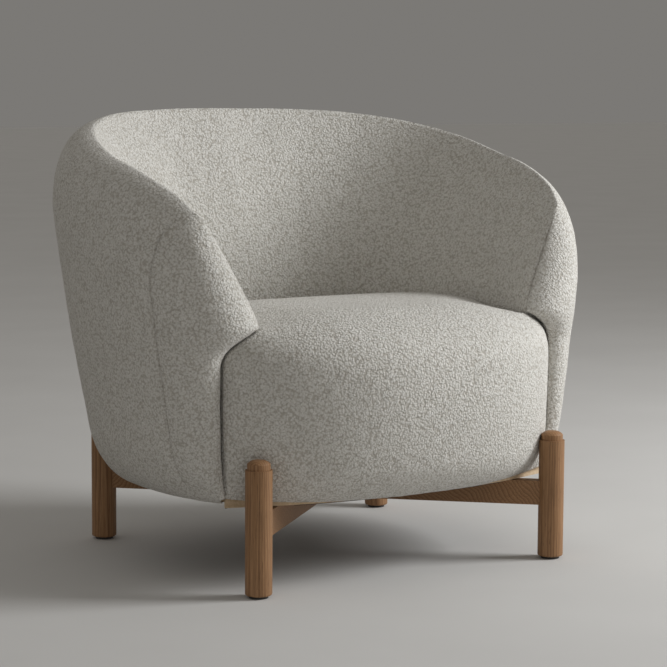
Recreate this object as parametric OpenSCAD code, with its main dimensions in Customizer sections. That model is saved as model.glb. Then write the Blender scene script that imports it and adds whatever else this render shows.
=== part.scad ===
// Upholstered tub chair: a padded shell on a hidden timber frame, a tight seat
// set between the arms, and four turned legs carried by two crossed rails.
// The front of the chair looks along -Y and the floor is at z = 0.

/* [Shell] */
// Height of the back above the floor
back_height = 735; // [700:1:780]
// How far the rim falls from the back to the front of the arms
rim_fall = 148; // [120:1:165]
// Half of the width over the widest line of the shell
shell_half_width = 445; // [430:1:470]
// From the middle of the chair to the back of the shell
shell_back_reach = 396; // [385:1:430]
// From the middle of the chair to where the outer wall would close at the front
shell_front_reach = 365; // [355:1:385]
// How far the sides draw in from the widest line down to the leg tops
foot_side_draw = 54; // [45:1:65]
// How far the back draws in from the widest line down to the leg tops
foot_back_draw = 82; // [70:1:95]
// Height at which the outer wall has flared to its full width
widest_z = 612; // [570:1:650]
// How far the widest line lies below the rim
widest_below_rim = 114; // [95:1:130]

/* [Rim and inner wall] */
// From the widest line in to the crest of the rim, at the sides
rim_side_inset = 71; // [60:1:80]
// From the widest line in to the crest of the rim, at the back
rim_back_inset = 53; // [45:1:62]
// How much further forward the crest would close than the outer wall
rim_front_step = 27; // [15:1:35]
// From the crest of an arm in to the inner wall at the seat
inner_side_run = 114; // [105:1:125]
// From the crest of the back forward to the inner wall at the seat
inner_back_run = 111; // [100:1:120]
// From the middle of the chair to where the inner wall would close at the front
inner_front_reach = 820; // [700:1:950]
// How far the line where the inner wall meets the seat lies below the crown of the seat
tuck_below_seat = 18; // [10:1:24]
// From the middle of the chair to the panel seam on the outside of an arm
side_seam_reach = 150; // [130:1:165]
// From the middle of the chair to the panel seam on the rim of an arm
rim_seam_reach = 196; // [185:1:205]
// How much further forward that seam lies at the seat
seam_lean = 24; // [15:1:32]

/* [Body bottom] */
// Width of the rounding under the outer wall
under_width = 60; // [50:1:70]
// Height of the rounding under the outer wall
under_height = 95; // [80:1:110]

/* [Seat] */
// Height of the crown of the seat
seat_height = 427; // [418:1:440]
// From the middle of the chair to the front of the seat
seat_front_reach = 345; // [335:1:355]
// Width of the front of an arm, from the crease to the widest line of the shell
arm_front_width = 132; // [122:1:140]
// How far the oval that the front of the seat follows passes the crease
seat_oval_step = 52; // [42:1:60]
// Clearance in width between the top of the seat and the inner wall of an arm
seat_side_gap = 8; // [6:1:12]
// Height at which the front of the seat bulges most
seat_bulge_z = 331; // [315:1:345]
// How far the front of the seat leans in from there to its bottom
seat_lean = 48; // [40:1:60]
// Width of the rounding along the bottom of the seat front
seat_under_width = 50; // [40:1:56]
// Height of the rounding along the bottom of the seat front
seat_under_height = 61; // [45:1:75]
// Depth of the rounding from the front of the seat to its top
seat_round = 137; // [120:1:150]
// How far the top of the seat falls towards the arms
seat_side_drop = 7; // [4:1:14]
// How far the shoulders at the front corners fall
seat_shoulder_drop = 22; // [14:1:28]
// How far the top of the seat falls towards the back
seat_back_drop = 44; // [30:1:52]
// Depth of the turned-in edge along the sides of the seat
seat_edge_tuck = 5; // [3:1:8]
// How far the bottom edge of the seat front rises at the creases
seat_corner_lift = 16; // [8:1:20]
// How far the creases draw in towards each other from the bulge down to the bottom
seat_foot_draw = 6; // [3:1:9]

/* [Legs] */
// Diameter of a leg
leg_diameter = 42; // [38:1:44]
// Height of the rounded top of a leg
leg_height = 213; // [200:1:216]
// How far the inner side of a leg stands in from the side of the shell
leg_side_inset = 131; // [120:1:140]
// Clearance between a front leg and the seat front
leg_front_gap = 3.5; // [2.5:0.1:6]
// Clearance between a back leg and the shell
leg_back_gap = 5.2; // [4:0.1:8]
// Radius of the round at the top of a leg
leg_top_round = 15; // [8:1:17]
// Radius of the round at the foot of a leg
leg_foot_round = 3; // [1:0.5:5]
// Diameter of a glide under a leg
glide_diameter = 30; // [24:1:34]
// Thickness of a glide
glide_thickness = 4; // [3:0.5:6]
// Diameter of the stem of a glide
glide_stem_diameter = 8; // [6:0.5:10]
// Length of the stem of a glide
glide_stem_length = 16; // [10:1:24]

/* [Cross rails] */
// Height of the lower edge of a rail above the floor
rail_z = 90; // [80:1:95]
// Height of a rail
rail_height = 40; // [36:1:46]
// Thickness of a rail
rail_thickness = 22; // [18:1:26]
// What is left of a leg between its axis and the floor of the rail mortise
mortise_floor = 8; // [6:1:12]
// Diameter of a dowel between a rail and a leg
dowel_diameter = 10; // [8:1:12]
// How deep a dowel goes into the leg
dowel_in_leg = 18; // [14:1:22]
// How deep a dowel goes into the rail
dowel_in_rail = 22; // [18:1:30]

/* [Bolts] */
// Distance from the axis of a leg to a bolt, along a rail
bolt_inset = 193.5; // [180:0.5:215]
// Diameter of a bolt
bolt_diameter = 8; // [6:1:8]
// Diameter of a bolt head
bolt_head_diameter = 14; // [12:0.5:15]
// Height of a bolt head
bolt_head_height = 5; // [4:0.5:6]
// Width of the hexagon socket in a bolt head
bolt_socket_width = 5.6; // [4:0.1:6]
// Depth of the counterbore for the bolt head
counterbore_depth = 9; // [8:0.5:12]
// Diameter of the counterbore
counterbore_diameter = 18; // [17:0.5:19]
// Diameter of a washer
washer_diameter = 16; // [15:0.5:16.5]
// Thickness of a washer
washer_thickness = 1.6; // [1:0.1:2]
// Diameter of the barrel of a tee nut
nut_barrel_diameter = 10.5; // [10:0.1:12]
// Diameter of the flange of a tee nut
nut_flange_diameter = 24; // [20:1:28]
// Thickness of the flange of a tee nut
nut_flange_thickness = 1.6; // [1.2:0.1:2]
// Length of the barrel of a tee nut
nut_barrel_length = 12; // [10:0.5:15]

/* [Frame] */
// Thickness of the base board
board_thickness = 18; // [15:1:22]
// How far the opening in the base board stays inside the seat frame at the sides
board_hole_side_inset = 62; // [52:1:75]
// How far the opening in the base board stays inside the seat frame at the back
board_hole_back_inset = 89; // [80:1:100]
// Thickness of the seat rails
seat_rail_thickness = 22; // [18:1:24]
// How far the front and back seat rails stay below the bulge of the seat
seat_rail_below_bulge = 51; // [45:1:65]
// How far the side rails stand in from the sides of the shell
seat_frame_side_inset = 154; // [150:1:165]
// How far the back rail stands in from the back of the shell
seat_frame_back_inset = 150; // [149:1:165]
// How far the corner rails reach along the sides
corner_rail_depth = 119; // [110:1:135]
// How far the corner rails reach along the back
corner_rail_width = 72; // [66:1:90]
// Thickness of the padding in front of the foot of the front rail
front_rail_cover = 26; // [20:1:32]
// Length of a corner block along a rail
corner_block_size = 55; // [40:1:65]
// Height of a corner block
corner_block_height = 60; // [40:1:80]
// From the panel seam back to the middle of an arm post
arm_post_inset = 39; // [30:1:45]
// Thickness of a rib and of an arm post
rib_thickness = 18; // [15:1:22]
// Clearance from a rib to the padding on either side of it
rib_margin = 7; // [6:0.5:8]
// Depth of the foot of a rib on the base board
rib_foot_depth = 48; // [40:1:50]
// Height of the foot of a rib
rib_foot_height = 40; // [25:1:60]
// Thickness of the top rail
top_rail_thickness = 16; // [12:1:17]
// Height of the top rail
top_rail_height = 40; // [30:1:42]
// How far the top of the top rail lies below the rim
top_rail_below_rim = 60; // [58:1:64]
// How far the top rail stands in from the widest line
top_rail_inset = 22; // [20:1:24]
// Thickness of the board that lines the inner wall
lining_thickness = 2.7; // [2:0.1:3]

/* [Upholstery] */
// Thickness of the cover fabric
cover_thickness = 3; // [2:0.1:3.5]
// Depth of the padding on the outside of the shell, from the face of the cover
outer_padding = 10; // [8:1:11]
// Depth of the foam on the inside of the shell, from the face of the cover
inner_padding = 45; // [36:1:46]
// Width of a webbing strap
webbing_width = 60; // [50:1:66]
// Thickness of a webbing strap
webbing_thickness = 2; // [1.5:0.1:2.5]
// Number of straps from front to back
webbing_long_count = 5; // [3:1:6]
// Number of straps from side to side
webbing_cross_count = 3; // [2:1:3]
// Thickness of the dust cover
dust_cover_thickness = 1; // [0.8:0.1:1.4]
// Clearance between soft pieces
fit_gap = 0.4; // [0.3:0.05:0.6]
// Clearance between the front of an arm and the back, in the panel seam
seam_gap = 1; // [0.6:0.1:1.4]
// Clearance between the seat and the front of an arm, in the crease
crease_gap = 1.2; // [0.8:0.1:1.6]
// Clearance between hard pieces that slide together
hard_gap = 0.2; // [0.1:0.05:0.3]

/* [Hidden] */
$fn = 64;

// Finishes
oak_colour = "#a07a55";
beech_colour = "#d8b98a";
ply_colour = "#c9a877";
fabric_colour = "#d9d5cc";
foam_colour = "#efe3b4";
wadding_colour = "#f4f4f1";
webbing_colour = "#4a4640";
steel_colour = "#b5b7b9";
nylon_colour = "#2e2b28";
cambric_colour = "#26262a";

// Heights and places that follow from the sizes above
body_z = rail_z + rail_height;
board_z = body_z + dust_cover_thickness;
board_top_z = board_z + board_thickness;
seat_rail_top_z = seat_bulge_z - seat_rail_below_bulge;
deck_z = seat_rail_top_z + 2 * webbing_thickness;
tuck_z = seat_height - tuck_below_seat;
centre_y = (seat_front_reach - shell_back_reach) / 2;
foot_half_width = shell_half_width - foot_side_draw;
foot_back_reach = shell_back_reach - foot_back_draw;
rim_half_width = shell_half_width - rim_side_inset;
rim_back_reach = shell_back_reach - rim_back_inset;
rim_front_reach = shell_front_reach + rim_front_step;
inner_half_width = rim_half_width - inner_side_run;
inner_back_reach = rim_back_reach - inner_back_run;
seat_half_width = shell_half_width - arm_front_width;
seat_oval_half_width = seat_half_width + seat_oval_step;
seat_top_half_width = inner_half_width - seat_side_gap;
seat_back_reach = inner_back_reach - seat_edge_tuck;
seat_frame_half_width = foot_half_width - seat_frame_side_inset;
seat_frame_back_reach = foot_back_reach - seat_frame_back_inset;
side_rail_back_reach = seat_frame_back_reach - corner_rail_depth;
back_rail_half_length = seat_frame_half_width - corner_rail_width;
board_hole_half_width = seat_frame_half_width - board_hole_side_inset;
board_hole_half_depth = seat_frame_back_reach - board_hole_back_inset;
flare_start_z = leg_height;
overrun = leg_foot_round;

// Shape of the shell
plan_power = 2.36;
rim_fall_power = 2.44;
flare_straight_share = 0.52;
flare_power = 1.7;
flare_below_share = 1.2;
round_power = 2.22;
inner_power = 1.42;
inner_roll_power = 1.05;
inner_lean_power = 0.3;
tuck_back_share = 0.3;
seam_top_share = 0.02;
nose_top_share = 0.5;
nose_side_pull_share = 0.5;
nose_seam_pull_share = 0.42;
nose_tip_share = 0.62;
nose_foot_share = 0.16;
nose_crease_power = 0.9;
nose_rim_start_share = 0.55;
nose_close_start_share = 0.8;
nose_leave_x_share = 0.62;
nose_leave_y_share = 0.785;
tip_row = 1.74;

// Shape of the seat
seat_shoulder_share = 0.93;
seat_crown_share = 0.28;
seat_flat_share = 0.18;
seat_side_power = 3.2;
seat_back_power = 1.85;
seat_edge_power = 16;
seat_crease_power = 10;
seat_lift_power = 3;
seat_foot_power = 3;

// Where the rows and columns of the soft pieces lie
station_count = 30;
wall_rows = [0, 0.015, 0.06, 0.14, 0.27, 0.45, 0.7, 1];
shoulder_rows = [1.25, 1.5, 1.75, 2];
inner_rows = [2.06, 2.2, 2.45, 2.72, 3, 3.3, 4];
shell_rows = concat(wall_rows, shoulder_rows, inner_rows);
padding_rows = concat([0, 0.06, 0.14, 0.45, 1, 1.25, 1.5, 2], inner_rows);
lining_rows = [2.45, 2.72, 3, 3.3, 4];
nose_rows = [0, 0.035, 0.07, 0.16, 0.27, 0.4, 0.52, 0.62, 0.7, 0.8, 0.87, 0.94, 1];
nose_columns = [0, 0.14, 0.28, 0.42, 0.56, 0.7, 0.85, 1];
seat_half_columns = [0.16, 0.33, 0.5, 0.66, 0.8, 0.9, 0.97, 1];
seat_columns = both_sides(seat_half_columns);
seat_front_rows = [0, 0.05, 0.14, 0.28, 0.5, 0.75, 1];
seat_top_rows = [1.12, 1.26, 1.4, 1.56, 1.74, 1.86, 2, 2.2, 2.4, 2.6, 2.8, 3];
seat_rows = concat(seat_front_rows, seat_top_rows);
front_foam_rows = [0.14, 0.28, 0.5, 0.75];
front_foam_share = 0.7;
front_foam_columns = both_sides([for (s = seat_half_columns) if (s < front_foam_share) s]);
front_rail_share = 0.85;
front_rail_columns = both_sides([for (s = seat_half_columns) if (s < front_rail_share) s]);
front_rail_row = 0.09;
rib_outer_rows = [0.12, 0.25, 0.45, 0.7, 0.99];
rib_top_share = 0.8;
rib_back_turn = 30;
rib_corner_turn = 60;
rib_side_turn = 90;
arm_post_turn = 90 + atan((side_seam_reach - arm_post_inset) / shell_half_width);
seat_foam_draft_share = 0.97;
step_share = 0.004;

function unit(v) = v / norm(v);
function reversed(list) = [for (i = [len(list) - 1 : -1 : 0]) list[i]];
function both_sides(half) = concat(-reversed(half), [0], half);
function mix(a, b, share) = a + (b - a) * share;
function limit(v, low, high) = min(max(v, low), high);
function share_of(v, low, high) = limit((v - low) / (high - low), 0, 1);
function oval(angle, half_width, back, front) =
    let (c = cos(angle), k = 2 / plan_power)
    [half_width * pow(abs(sin(angle)), k), (c >= 0 ? back : -front) * pow(abs(c), k)];
function oval_radius(turn, half_width, depth) =
    pow(pow(abs(sin(turn)) / half_width, plan_power) + pow(abs(cos(turn)) / depth, plan_power),
        -1 / plan_power);
function end_angle(reach, front) = 180 - acos(pow(reach / front, plan_power / 2));
function rim_height(u) = back_height - rim_fall * pow(abs(u), rim_fall_power);
function flare(z) =
    let (k = min((z - flare_start_z) / (widest_z - flare_start_z), 1))
    k > 0 ? flare_straight_share * k + (1 - flare_straight_share) * (1 - pow(1 - k, flare_power))
    : flare_below_share * k;
function under_share(z, height) = limit((body_z + height - z) / height, 0, 1);
function under_inset(z, width, height) = width * (1 - sqrt(1 - pow(under_share(z, height), 2)));

// One ring of the shell as [half width, back reach, front reach, height, reach of its end].
// u runs from -1 at the left arm to 1 at the right arm, w from 0 to 1 up the outer wall, to 2
// over the shoulder to the crest, to 3 down the inner wall, and to 4 behind the seat.
function wall_ring(u, w, d) =
    let (z = mix(body_z, rim_height(u) - widest_below_rim, w),
        k = under_share(z, under_height),
        n = unit([sqrt(1 - k * k) / under_width + (k == 0 ? 1 / under_width : 0), k / under_height]),
        inset = under_inset(z, under_width, under_height) + d * n[0])
    [mix(foot_half_width, shell_half_width, flare(z)) - inset,
        mix(foot_back_reach, shell_back_reach, flare(z)) - inset,
        shell_front_reach - inset, z + d * n[1], side_seam_reach];
function shoulder_ring(u, w, d) =
    let (turn = 90 * (w - 1),
        c = pow(max(cos(turn), 0), 2 / round_power),
        wide = flare(rim_height(u) - widest_below_rim))
    [mix(rim_half_width, mix(foot_half_width, shell_half_width, wide), c) - d * cos(turn),
        mix(rim_back_reach, mix(foot_back_reach, shell_back_reach, wide), c) - d * cos(turn),
        mix(rim_front_reach, shell_front_reach, c) - d * cos(turn),
        rim_height(u) - widest_below_rim * (1 - pow(sin(turn), 2 / round_power)) - d * sin(turn),
        mix(rim_seam_reach, side_seam_reach, c)];
function inner_ring(u, w, d) =
    let (v = min(w - 2, 1),
        tuck = max(w - 3, 0),
        g = pow(1 - pow(1 - v, inner_power), inner_roll_power),
        lean = pow(v, inner_lean_power))
    [mix(rim_half_width, inner_half_width, g) + d * lean + seat_edge_tuck * tuck,
        mix(rim_back_reach, inner_back_reach, g) + d * lean + seat_edge_tuck * tuck,
        mix(rim_front_reach, inner_front_reach, g * g) + d * lean,
        mix(rim_height(u), tuck_z, v) - d * sqrt(1 - lean * lean) - tuck * (tuck_z - deck_z),
        rim_seam_reach + seam_lean * v
            - (2 * seam_lean) * limit(tuck / tuck_back_share, 0, 1)];
function ring(u, w, d) = w <= 1 ? wall_ring(u, w, d) : w <= 2 ? shoulder_ring(u, w, d) : inner_ring(u, w, d);
function shell_point(u, w, d = 0) =
    let (r = ring(u, w, d), p = oval(abs(u) * end_angle(r[4], r[2]), r[0], r[1], r[2]))
    [sign(u) * p[0], p[1], r[3]];

// One point of the seat skin. s runs from -1 to 1 across, r from 0 to 1 up the front, to 2 over
// the front edge, and to 3 along the top to the back.
function seat_line(r, lift) =
    r <= 1 ? let (z = mix(body_z + dust_cover_thickness + lift, seat_bulge_z, r),
            k = (seat_bulge_z - z) / (seat_bulge_z - body_z))
        [seat_lean * k * k + under_inset(z, seat_under_width, seat_under_height), z]
    : r <= 2 ? [seat_round * (1 - pow(max(cos(90 * (r - 1)), 0), 2 / round_power)),
            mix(seat_bulge_z, seat_height, pow(sin(90 * (r - 1)), 2 / round_power))]
    : [mix(seat_round, seat_front_reach + seat_back_reach, r - 2),
            seat_height - seat_back_drop * pow(share_of(r - 2, seat_crown_share, 1), seat_back_power)];
function seat_point(s, r) =
    let (a = abs(s),
        line = seat_line(r, seat_corner_lift * pow(a, seat_lift_power)),
        rise = sin(90 * limit(r - 1, 0, 1)),
        half = mix(seat_half_width, seat_top_half_width,
            pow(min(rise / seat_shoulder_share, 1), seat_side_power))
            - seat_foot_draw * pow(1 - min(r, 1), seat_foot_power),
        x = s * half,
        q = pow(1 - pow(abs(x) / seat_oval_half_width, plan_power), 1 / plan_power),
        inset = r <= 1 ? line[0] * (1 - pow(a, seat_crease_power)) : line[0],
        depth = seat_back_reach + seat_front_reach,
        y = seat_back_reach - (depth - inset) * (seat_back_reach + seat_front_reach * q) / depth
            + (r <= 2 ? seat_edge_tuck * pow(a, seat_edge_power) : 0),
        back = pow(limit(y / seat_back_reach, 0, 1), plan_power),
        drop = mix(seat_shoulder_drop, seat_side_drop, share_of(r - 2, 0, seat_flat_share)))
    [x * pow(1 - back / 2, 1 / plan_power),
        y > 0 ? y * pow(1 - pow(a, plan_power) / 2, 1 / plan_power) : y,
        line[1] - rise * (drop * pow(a, seat_side_power) + seat_edge_tuck * pow(a, seat_edge_power))];
function seat_normal(s, r) =
    let (e = step_share, s0 = max(s - e, -1), s1 = min(s + e, 1), r0 = max(r - e, 0), r1 = min(r + e, 3))
    unit(cross(seat_point(s1, r) - seat_point(s0, r), seat_point(s, r1) - seat_point(s, r0)));
function seat_inner(s, r, d) = seat_point(s, r) - d * seat_normal(s, r);

// The arm front. t runs from 0 at the side seam to 1 at the seat, q from 0 at the bottom to 1
// at the rim.
function crease_edge(q) =
    let (k = q / nose_tip_share, row = tip_row * pow(k, nose_crease_power))
    seat_point(1, row) + [crease_gap * (1 - pow(k, 4)), 0, 0]
        + (shell_point(1, 3) - seat_point(1, tip_row)) * pow(k, 4);
function nose_edge_w(q) = mix(3, 2 + seam_top_share, share_of(q, nose_tip_share, 1));
function nose_edge(q) = q <= nose_tip_share ? crease_edge(q) : shell_point(1, nose_edge_w(q));
function nose_row_w(q) = q * (1 + nose_top_share);
function nose_raw(t, q) =
    let (w = nose_row_w(q), e = 10 * step_share,
        from = shell_point(1, w),
        to = nose_edge(q),
        along = unit(from - shell_point(1 - e, w)),
        up = unit(shell_point(1, min(w + e, 2)) - shell_point(1, max(w - e, 0))),
        over = unit(shell_point(1, 2 + e / 2) - shell_point(1, 2 + 2 * e)),
        m = pow(share_of(q, nose_rim_start_share, 1), 2),
        leave = unit(mix(along, up, m)),
        front = unit(mix([1, 0, 0], [nose_leave_x_share, -nose_leave_y_share, 0],
            share_of(q, 0, nose_foot_share))),
        arrive = unit(mix(front, over, m)),
        span = norm(to - from),
        c1 = from + leave * span * nose_side_pull_share,
        c2 = to + arrive * span * nose_seam_pull_share,
        k = 1 - t)
    k * k * k * from + 3 * k * k * t * c1 + 3 * k * t * t * c2 + t * t * t * to;
function nose_point(t, q) =
    mix(nose_raw(t, q), shell_point(1, mix(1 + nose_top_share, 2 + seam_top_share, t)),
        pow(share_of(q, nose_close_start_share, 1), 2));
function nose_normal(t, q) =
    let (e = 5 * step_share, t0 = max(t - e, 0), t1 = min(t + e, 1), q0 = max(q - e, 0), q1 = min(q + e, 1))
    unit(cross(nose_point(t, q1) - nose_point(t, q0), nose_point(t1, q) - nose_point(t0, q)));
function crease_side(q) = let (k = share_of(q, 0, nose_foot_share)) unit([k, 1 - k, 0]);
function nose_inner(t, q, d) =
    t == 0 ? shell_point(1, nose_row_w(q), d)
    : q == 1 ? shell_point(1, mix(1 + nose_top_share, 2 + seam_top_share, t), d)
    : t == 1 && q > nose_tip_share ? shell_point(1, nose_edge_w(q), d)
    : t == 1 ? nose_point(1, q) + d * crease_side(q)
    : nose_point(t, q)
        - d * unit(mix(nose_normal(t, q), -crease_side(q), q <= nose_tip_share ? pow(t, 4) : 0));

// Where the legs stand, close outside the cover
leg_shoulder_z = leg_height - leg_top_round;
leg_x = foot_half_width - leg_side_inset + leg_diameter / 2;
wall_inset = under_inset(leg_shoulder_z, under_width, under_height);
wall_half_width = mix(foot_half_width, shell_half_width, flare(leg_shoulder_z)) - wall_inset;
wall_back_reach = mix(foot_back_reach, shell_back_reach, flare(leg_shoulder_z)) - wall_inset;
leg_back_reach = wall_back_reach * pow(1 - pow(leg_x / wall_half_width, plan_power), 1 / plan_power)
    + leg_diameter / 2 + leg_back_gap;
seat_front_row = share_of(leg_shoulder_z, body_z + dust_cover_thickness, seat_bulge_z);
leg_front_reach = leg_diameter / 2 + leg_front_gap - seat_point(leg_x / seat_half_width, seat_front_row)[1];
leg_half_depth = (leg_front_reach + leg_back_reach) / 2;
leg_reach = norm([leg_x, leg_half_depth]);
rail_turn = atan2(leg_half_depth, leg_x);
rail_length = 2 * (leg_reach - mortise_floor);
bolt_reach = leg_reach - bolt_inset;

// A closed slab between two grids of points
module slab(front, back, flip = false) {
    rows = len(front);
    columns = len(front[0]);
    count = rows * columns;
    quads = [for (i = [0 : rows - 2], j = [0 : columns - 2]) [i * columns + j, (i + 1) * columns + j]];
    skin = [for (q = quads) each [[q[0], q[0] + 1, q[1] + 1], [q[0], q[1] + 1, q[1]]]];
    low = [for (j = [0 : columns - 2]) [j + 1, j]];
    high = [for (j = [0 : columns - 2]) [(rows - 1) * columns + j, (rows - 1) * columns + j + 1]];
    left = [for (i = [0 : rows - 2]) [i * columns, (i + 1) * columns]];
    right = [for (i = [0 : rows - 2]) [(i + 2) * columns - 1, (i + 1) * columns - 1]];
    edge = [for (e = concat(low, high, left, right))
        each [[e[0], e[1], e[1] + count], [e[0], e[1] + count, e[0] + count]]];
    under = [for (f = skin) [f[2] + count, f[1] + count, f[0] + count]];
    faces = concat(skin, edge, under);
    polyhedron(points = [for (row = concat(front, back)) each row],
        faces = flip ? [for (f = faces) [f[2], f[1], f[0]]] : faces);
}

module at_centre() {
    translate([0, centre_y, 0]) children();
}

module at_legs() {
    translate([0, centre_y + (leg_back_reach - leg_front_reach) / 2, 0]) children();
}

function stations(skip = 0) = [for (i = [skip : station_count - skip]) 2 * i / station_count - 1];
function shell_grid(rows, d, skip = 0) = [for (w = rows) [for (u = stations(skip)) shell_point(u, w, d)]];
function padding_depth(w) =
    w <= 1 ? outer_padding : w <= 2 ? mix(outer_padding, inner_padding, (w - 1) * (w - 1)) : inner_padding;

// Legs and rails
module leg(side_x, side_y) {
    height = leg_height - glide_thickness;
    r = leg_diameter / 2;
    color(oak_colour) at_legs() translate([side_x * leg_x, side_y * leg_half_depth, glide_thickness])
        difference() {
            rotate_extrude()
                union() {
                    translate([0, leg_foot_round]) square([r, height - leg_foot_round - leg_top_round]);
                    square([r - leg_foot_round, height]);
                    translate([r - leg_foot_round, leg_foot_round]) circle(r = leg_foot_round);
                }
            leg_top_cut(r, height);
            leg_joint(side_x, side_y);
            translate([0, 0, -overrun])
                cylinder(d = glide_stem_diameter + 2 * hard_gap, h = overrun + glide_stem_length + hard_gap);
        }
}

module leg_top_cut(r, height) {
    rotate_extrude()
        difference() {
            translate([r - leg_top_round, height - leg_top_round])
                square([leg_top_round + overrun, leg_top_round + overrun]);
            translate([r - leg_top_round, height - leg_top_round]) circle(r = leg_top_round);
        }
}

module leg_joint(side_x, side_y) {
    turn = atan2(-side_y * leg_half_depth, -side_x * leg_x);
    rotate([0, 0, turn]) {
        translate([mortise_floor, -rail_thickness / 2, rail_z - glide_thickness])
            cube([leg_diameter, rail_thickness, rail_height]);
        translate([mortise_floor - dowel_in_leg - hard_gap, 0, rail_z + rail_height / 2 - glide_thickness])
            rotate([0, 90, 0]) cylinder(d = dowel_diameter, h = leg_diameter);
    }
}

module leg_front_left() { leg(-1, -1); }
module leg_front_right() { leg(1, -1); }
module leg_back_left() { leg(-1, 1); }
module leg_back_right() { leg(1, 1); }

module leg_glides() {
    color(nylon_colour) at_legs()
        for (x = [-1, 1], y = [-1, 1])
            translate([x * leg_x, y * leg_half_depth, 0]) {
                cylinder(d = glide_diameter, h = glide_thickness);
                cylinder(d = glide_stem_diameter, h = glide_thickness + glide_stem_length);
            }
}

module rail_body(side) {
    halving_z = side > 0 ? rail_z + rail_height / 2 : rail_z - overrun;
    difference() {
        rotate([0, 0, side * rail_turn]) difference() {
            translate([-rail_length / 2, -rail_thickness / 2, rail_z])
                cube([rail_length, rail_thickness, rail_height]);
            for (s = [-1, 1]) {
                translate([s * rail_length / 2, 0, rail_z + rail_height / 2])
                    rotate([0, -s * 90, 0]) translate([0, 0, -overrun])
                        cylinder(d = dowel_diameter, h = dowel_in_rail + hard_gap + overrun);
                translate([s * bolt_reach, 0, rail_z - overrun]) {
                    cylinder(d = bolt_diameter + 2 * hard_gap, h = rail_height + 2 * overrun);
                    cylinder(d = counterbore_diameter, h = counterbore_depth + overrun);
                }
            }
        }
        rotate([0, 0, -side * rail_turn])
            translate([-rail_length / 2, -rail_thickness / 2, halving_z])
                cube([rail_length, rail_thickness, rail_height / 2 + overrun]);
    }
}

module cross_rail_left() { color(oak_colour) at_legs() rail_body(1); }
module cross_rail_right() { color(oak_colour) at_legs() rail_body(-1); }

module rail_dowels() {
    color(beech_colour) at_legs()
        for (side = [-1, 1], s = [-1, 1])
            rotate([0, 0, side * rail_turn])
                translate([s * (rail_length / 2 + dowel_in_leg), 0, rail_z + rail_height / 2])
                    rotate([0, -s * 90, 0]) cylinder(d = dowel_diameter, h = dowel_in_leg + dowel_in_rail);
}

// Bolts between the rails and the base board
module at_bolts(z) {
    at_legs()
        for (side = [-1, 1], s = [-1, 1])
            rotate([0, 0, side * rail_turn]) translate([s * bolt_reach, 0, z]) children();
}

module base_bolts() {
    seat_z = rail_z + counterbore_depth - washer_thickness;
    color(steel_colour) at_bolts(seat_z) {
        translate([0, 0, -bolt_head_height])
            difference() {
                cylinder(d = bolt_head_diameter, h = bolt_head_height);
                translate([0, 0, -overrun])
                    cylinder(d = bolt_socket_width, h = overrun + bolt_head_height / 2, $fn = 6);
            }
        cylinder(d = bolt_diameter, h = board_top_z + nut_flange_thickness - seat_z);
    }
}

module base_washers() {
    color(steel_colour) at_bolts(rail_z + counterbore_depth - washer_thickness)
        difference() {
            cylinder(d = washer_diameter, h = washer_thickness);
            translate([0, 0, -overrun])
                cylinder(d = bolt_diameter + 2 * hard_gap, h = washer_thickness + 2 * overrun);
        }
}

module base_tee_nuts() {
    color(steel_colour) at_bolts(board_top_z)
        difference() {
            union() {
                cylinder(d = nut_flange_diameter, h = nut_flange_thickness);
                translate([0, 0, -nut_barrel_length])
                    cylinder(d = nut_barrel_diameter, h = nut_barrel_length);
            }
            translate([0, 0, -nut_barrel_length - overrun])
                cylinder(d = bolt_diameter + 2 * hard_gap,
                    h = nut_barrel_length + nut_flange_thickness + 2 * overrun);
        }
}

// Base board and dust cover
function flat(p) = [p[0], p[1]];
function pull_in(p, c) = p - c * unit(p);
function nose_outline(c) =
    [for (t = nose_columns) if (t > 0 && t < 1) pull_in(flat(nose_point(t, 0)), c + 4 * cover_thickness)];
function bottom_outline(c) =
    concat([for (u = stations()) pull_in(flat(shell_point(u, 0)), c)], nose_outline(c),
        [for (s = reversed(front_rail_columns)) pull_in(flat(seat_point(s, 0)), c + cover_thickness)],
        [for (p = reversed(nose_outline(c))) [-p[0], p[1]]]);

module base_board() {
    color(ply_colour)
        difference() {
            at_centre() translate([0, 0, board_z])
                linear_extrude(board_thickness) polygon(bottom_outline(2 * fit_gap));
            at_legs() translate([0, 0, board_z - overrun])
                linear_extrude(board_thickness + 2 * overrun)
                    scale([1, board_hole_half_depth / board_hole_half_width])
                        circle(r = board_hole_half_width, $fn = 12);
            at_bolts(board_z - overrun)
                cylinder(d = nut_barrel_diameter + 2 * hard_gap, h = board_thickness + 2 * overrun);
        }
}

module dust_cover() {
    color(cambric_colour)
        difference() {
            at_centre() translate([0, 0, body_z])
                linear_extrude(dust_cover_thickness) polygon(bottom_outline(4 * fit_gap));
            at_bolts(body_z - overrun)
                cylinder(d = bolt_diameter + 2 * hard_gap, h = dust_cover_thickness + 2 * overrun);
        }
}

// Seat frame
function front_rail_face(c) =
    [for (s = front_rail_columns) pull_in(flat(seat_point(s, front_rail_row)), c)];

module seat_rail_front() {
    color(beech_colour) at_centre() translate([0, 0, board_top_z])
        linear_extrude(seat_rail_top_z - board_top_z)
            polygon(concat(front_rail_face(front_rail_cover),
                reversed(front_rail_face(front_rail_cover + seat_rail_thickness))));
}

frame_corner = [[seat_frame_half_width, side_rail_back_reach],
    [back_rail_half_length, seat_frame_back_reach]];
function frame_back() =
    [frame_corner[0], frame_corner[1], [-back_rail_half_length, seat_frame_back_reach],
        [-seat_frame_half_width, side_rail_back_reach]];

module inside_front_rail(height) {
    linear_extrude(height)
        polygon(concat(front_rail_face(front_rail_cover + seat_rail_thickness), frame_back()));
}

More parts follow.
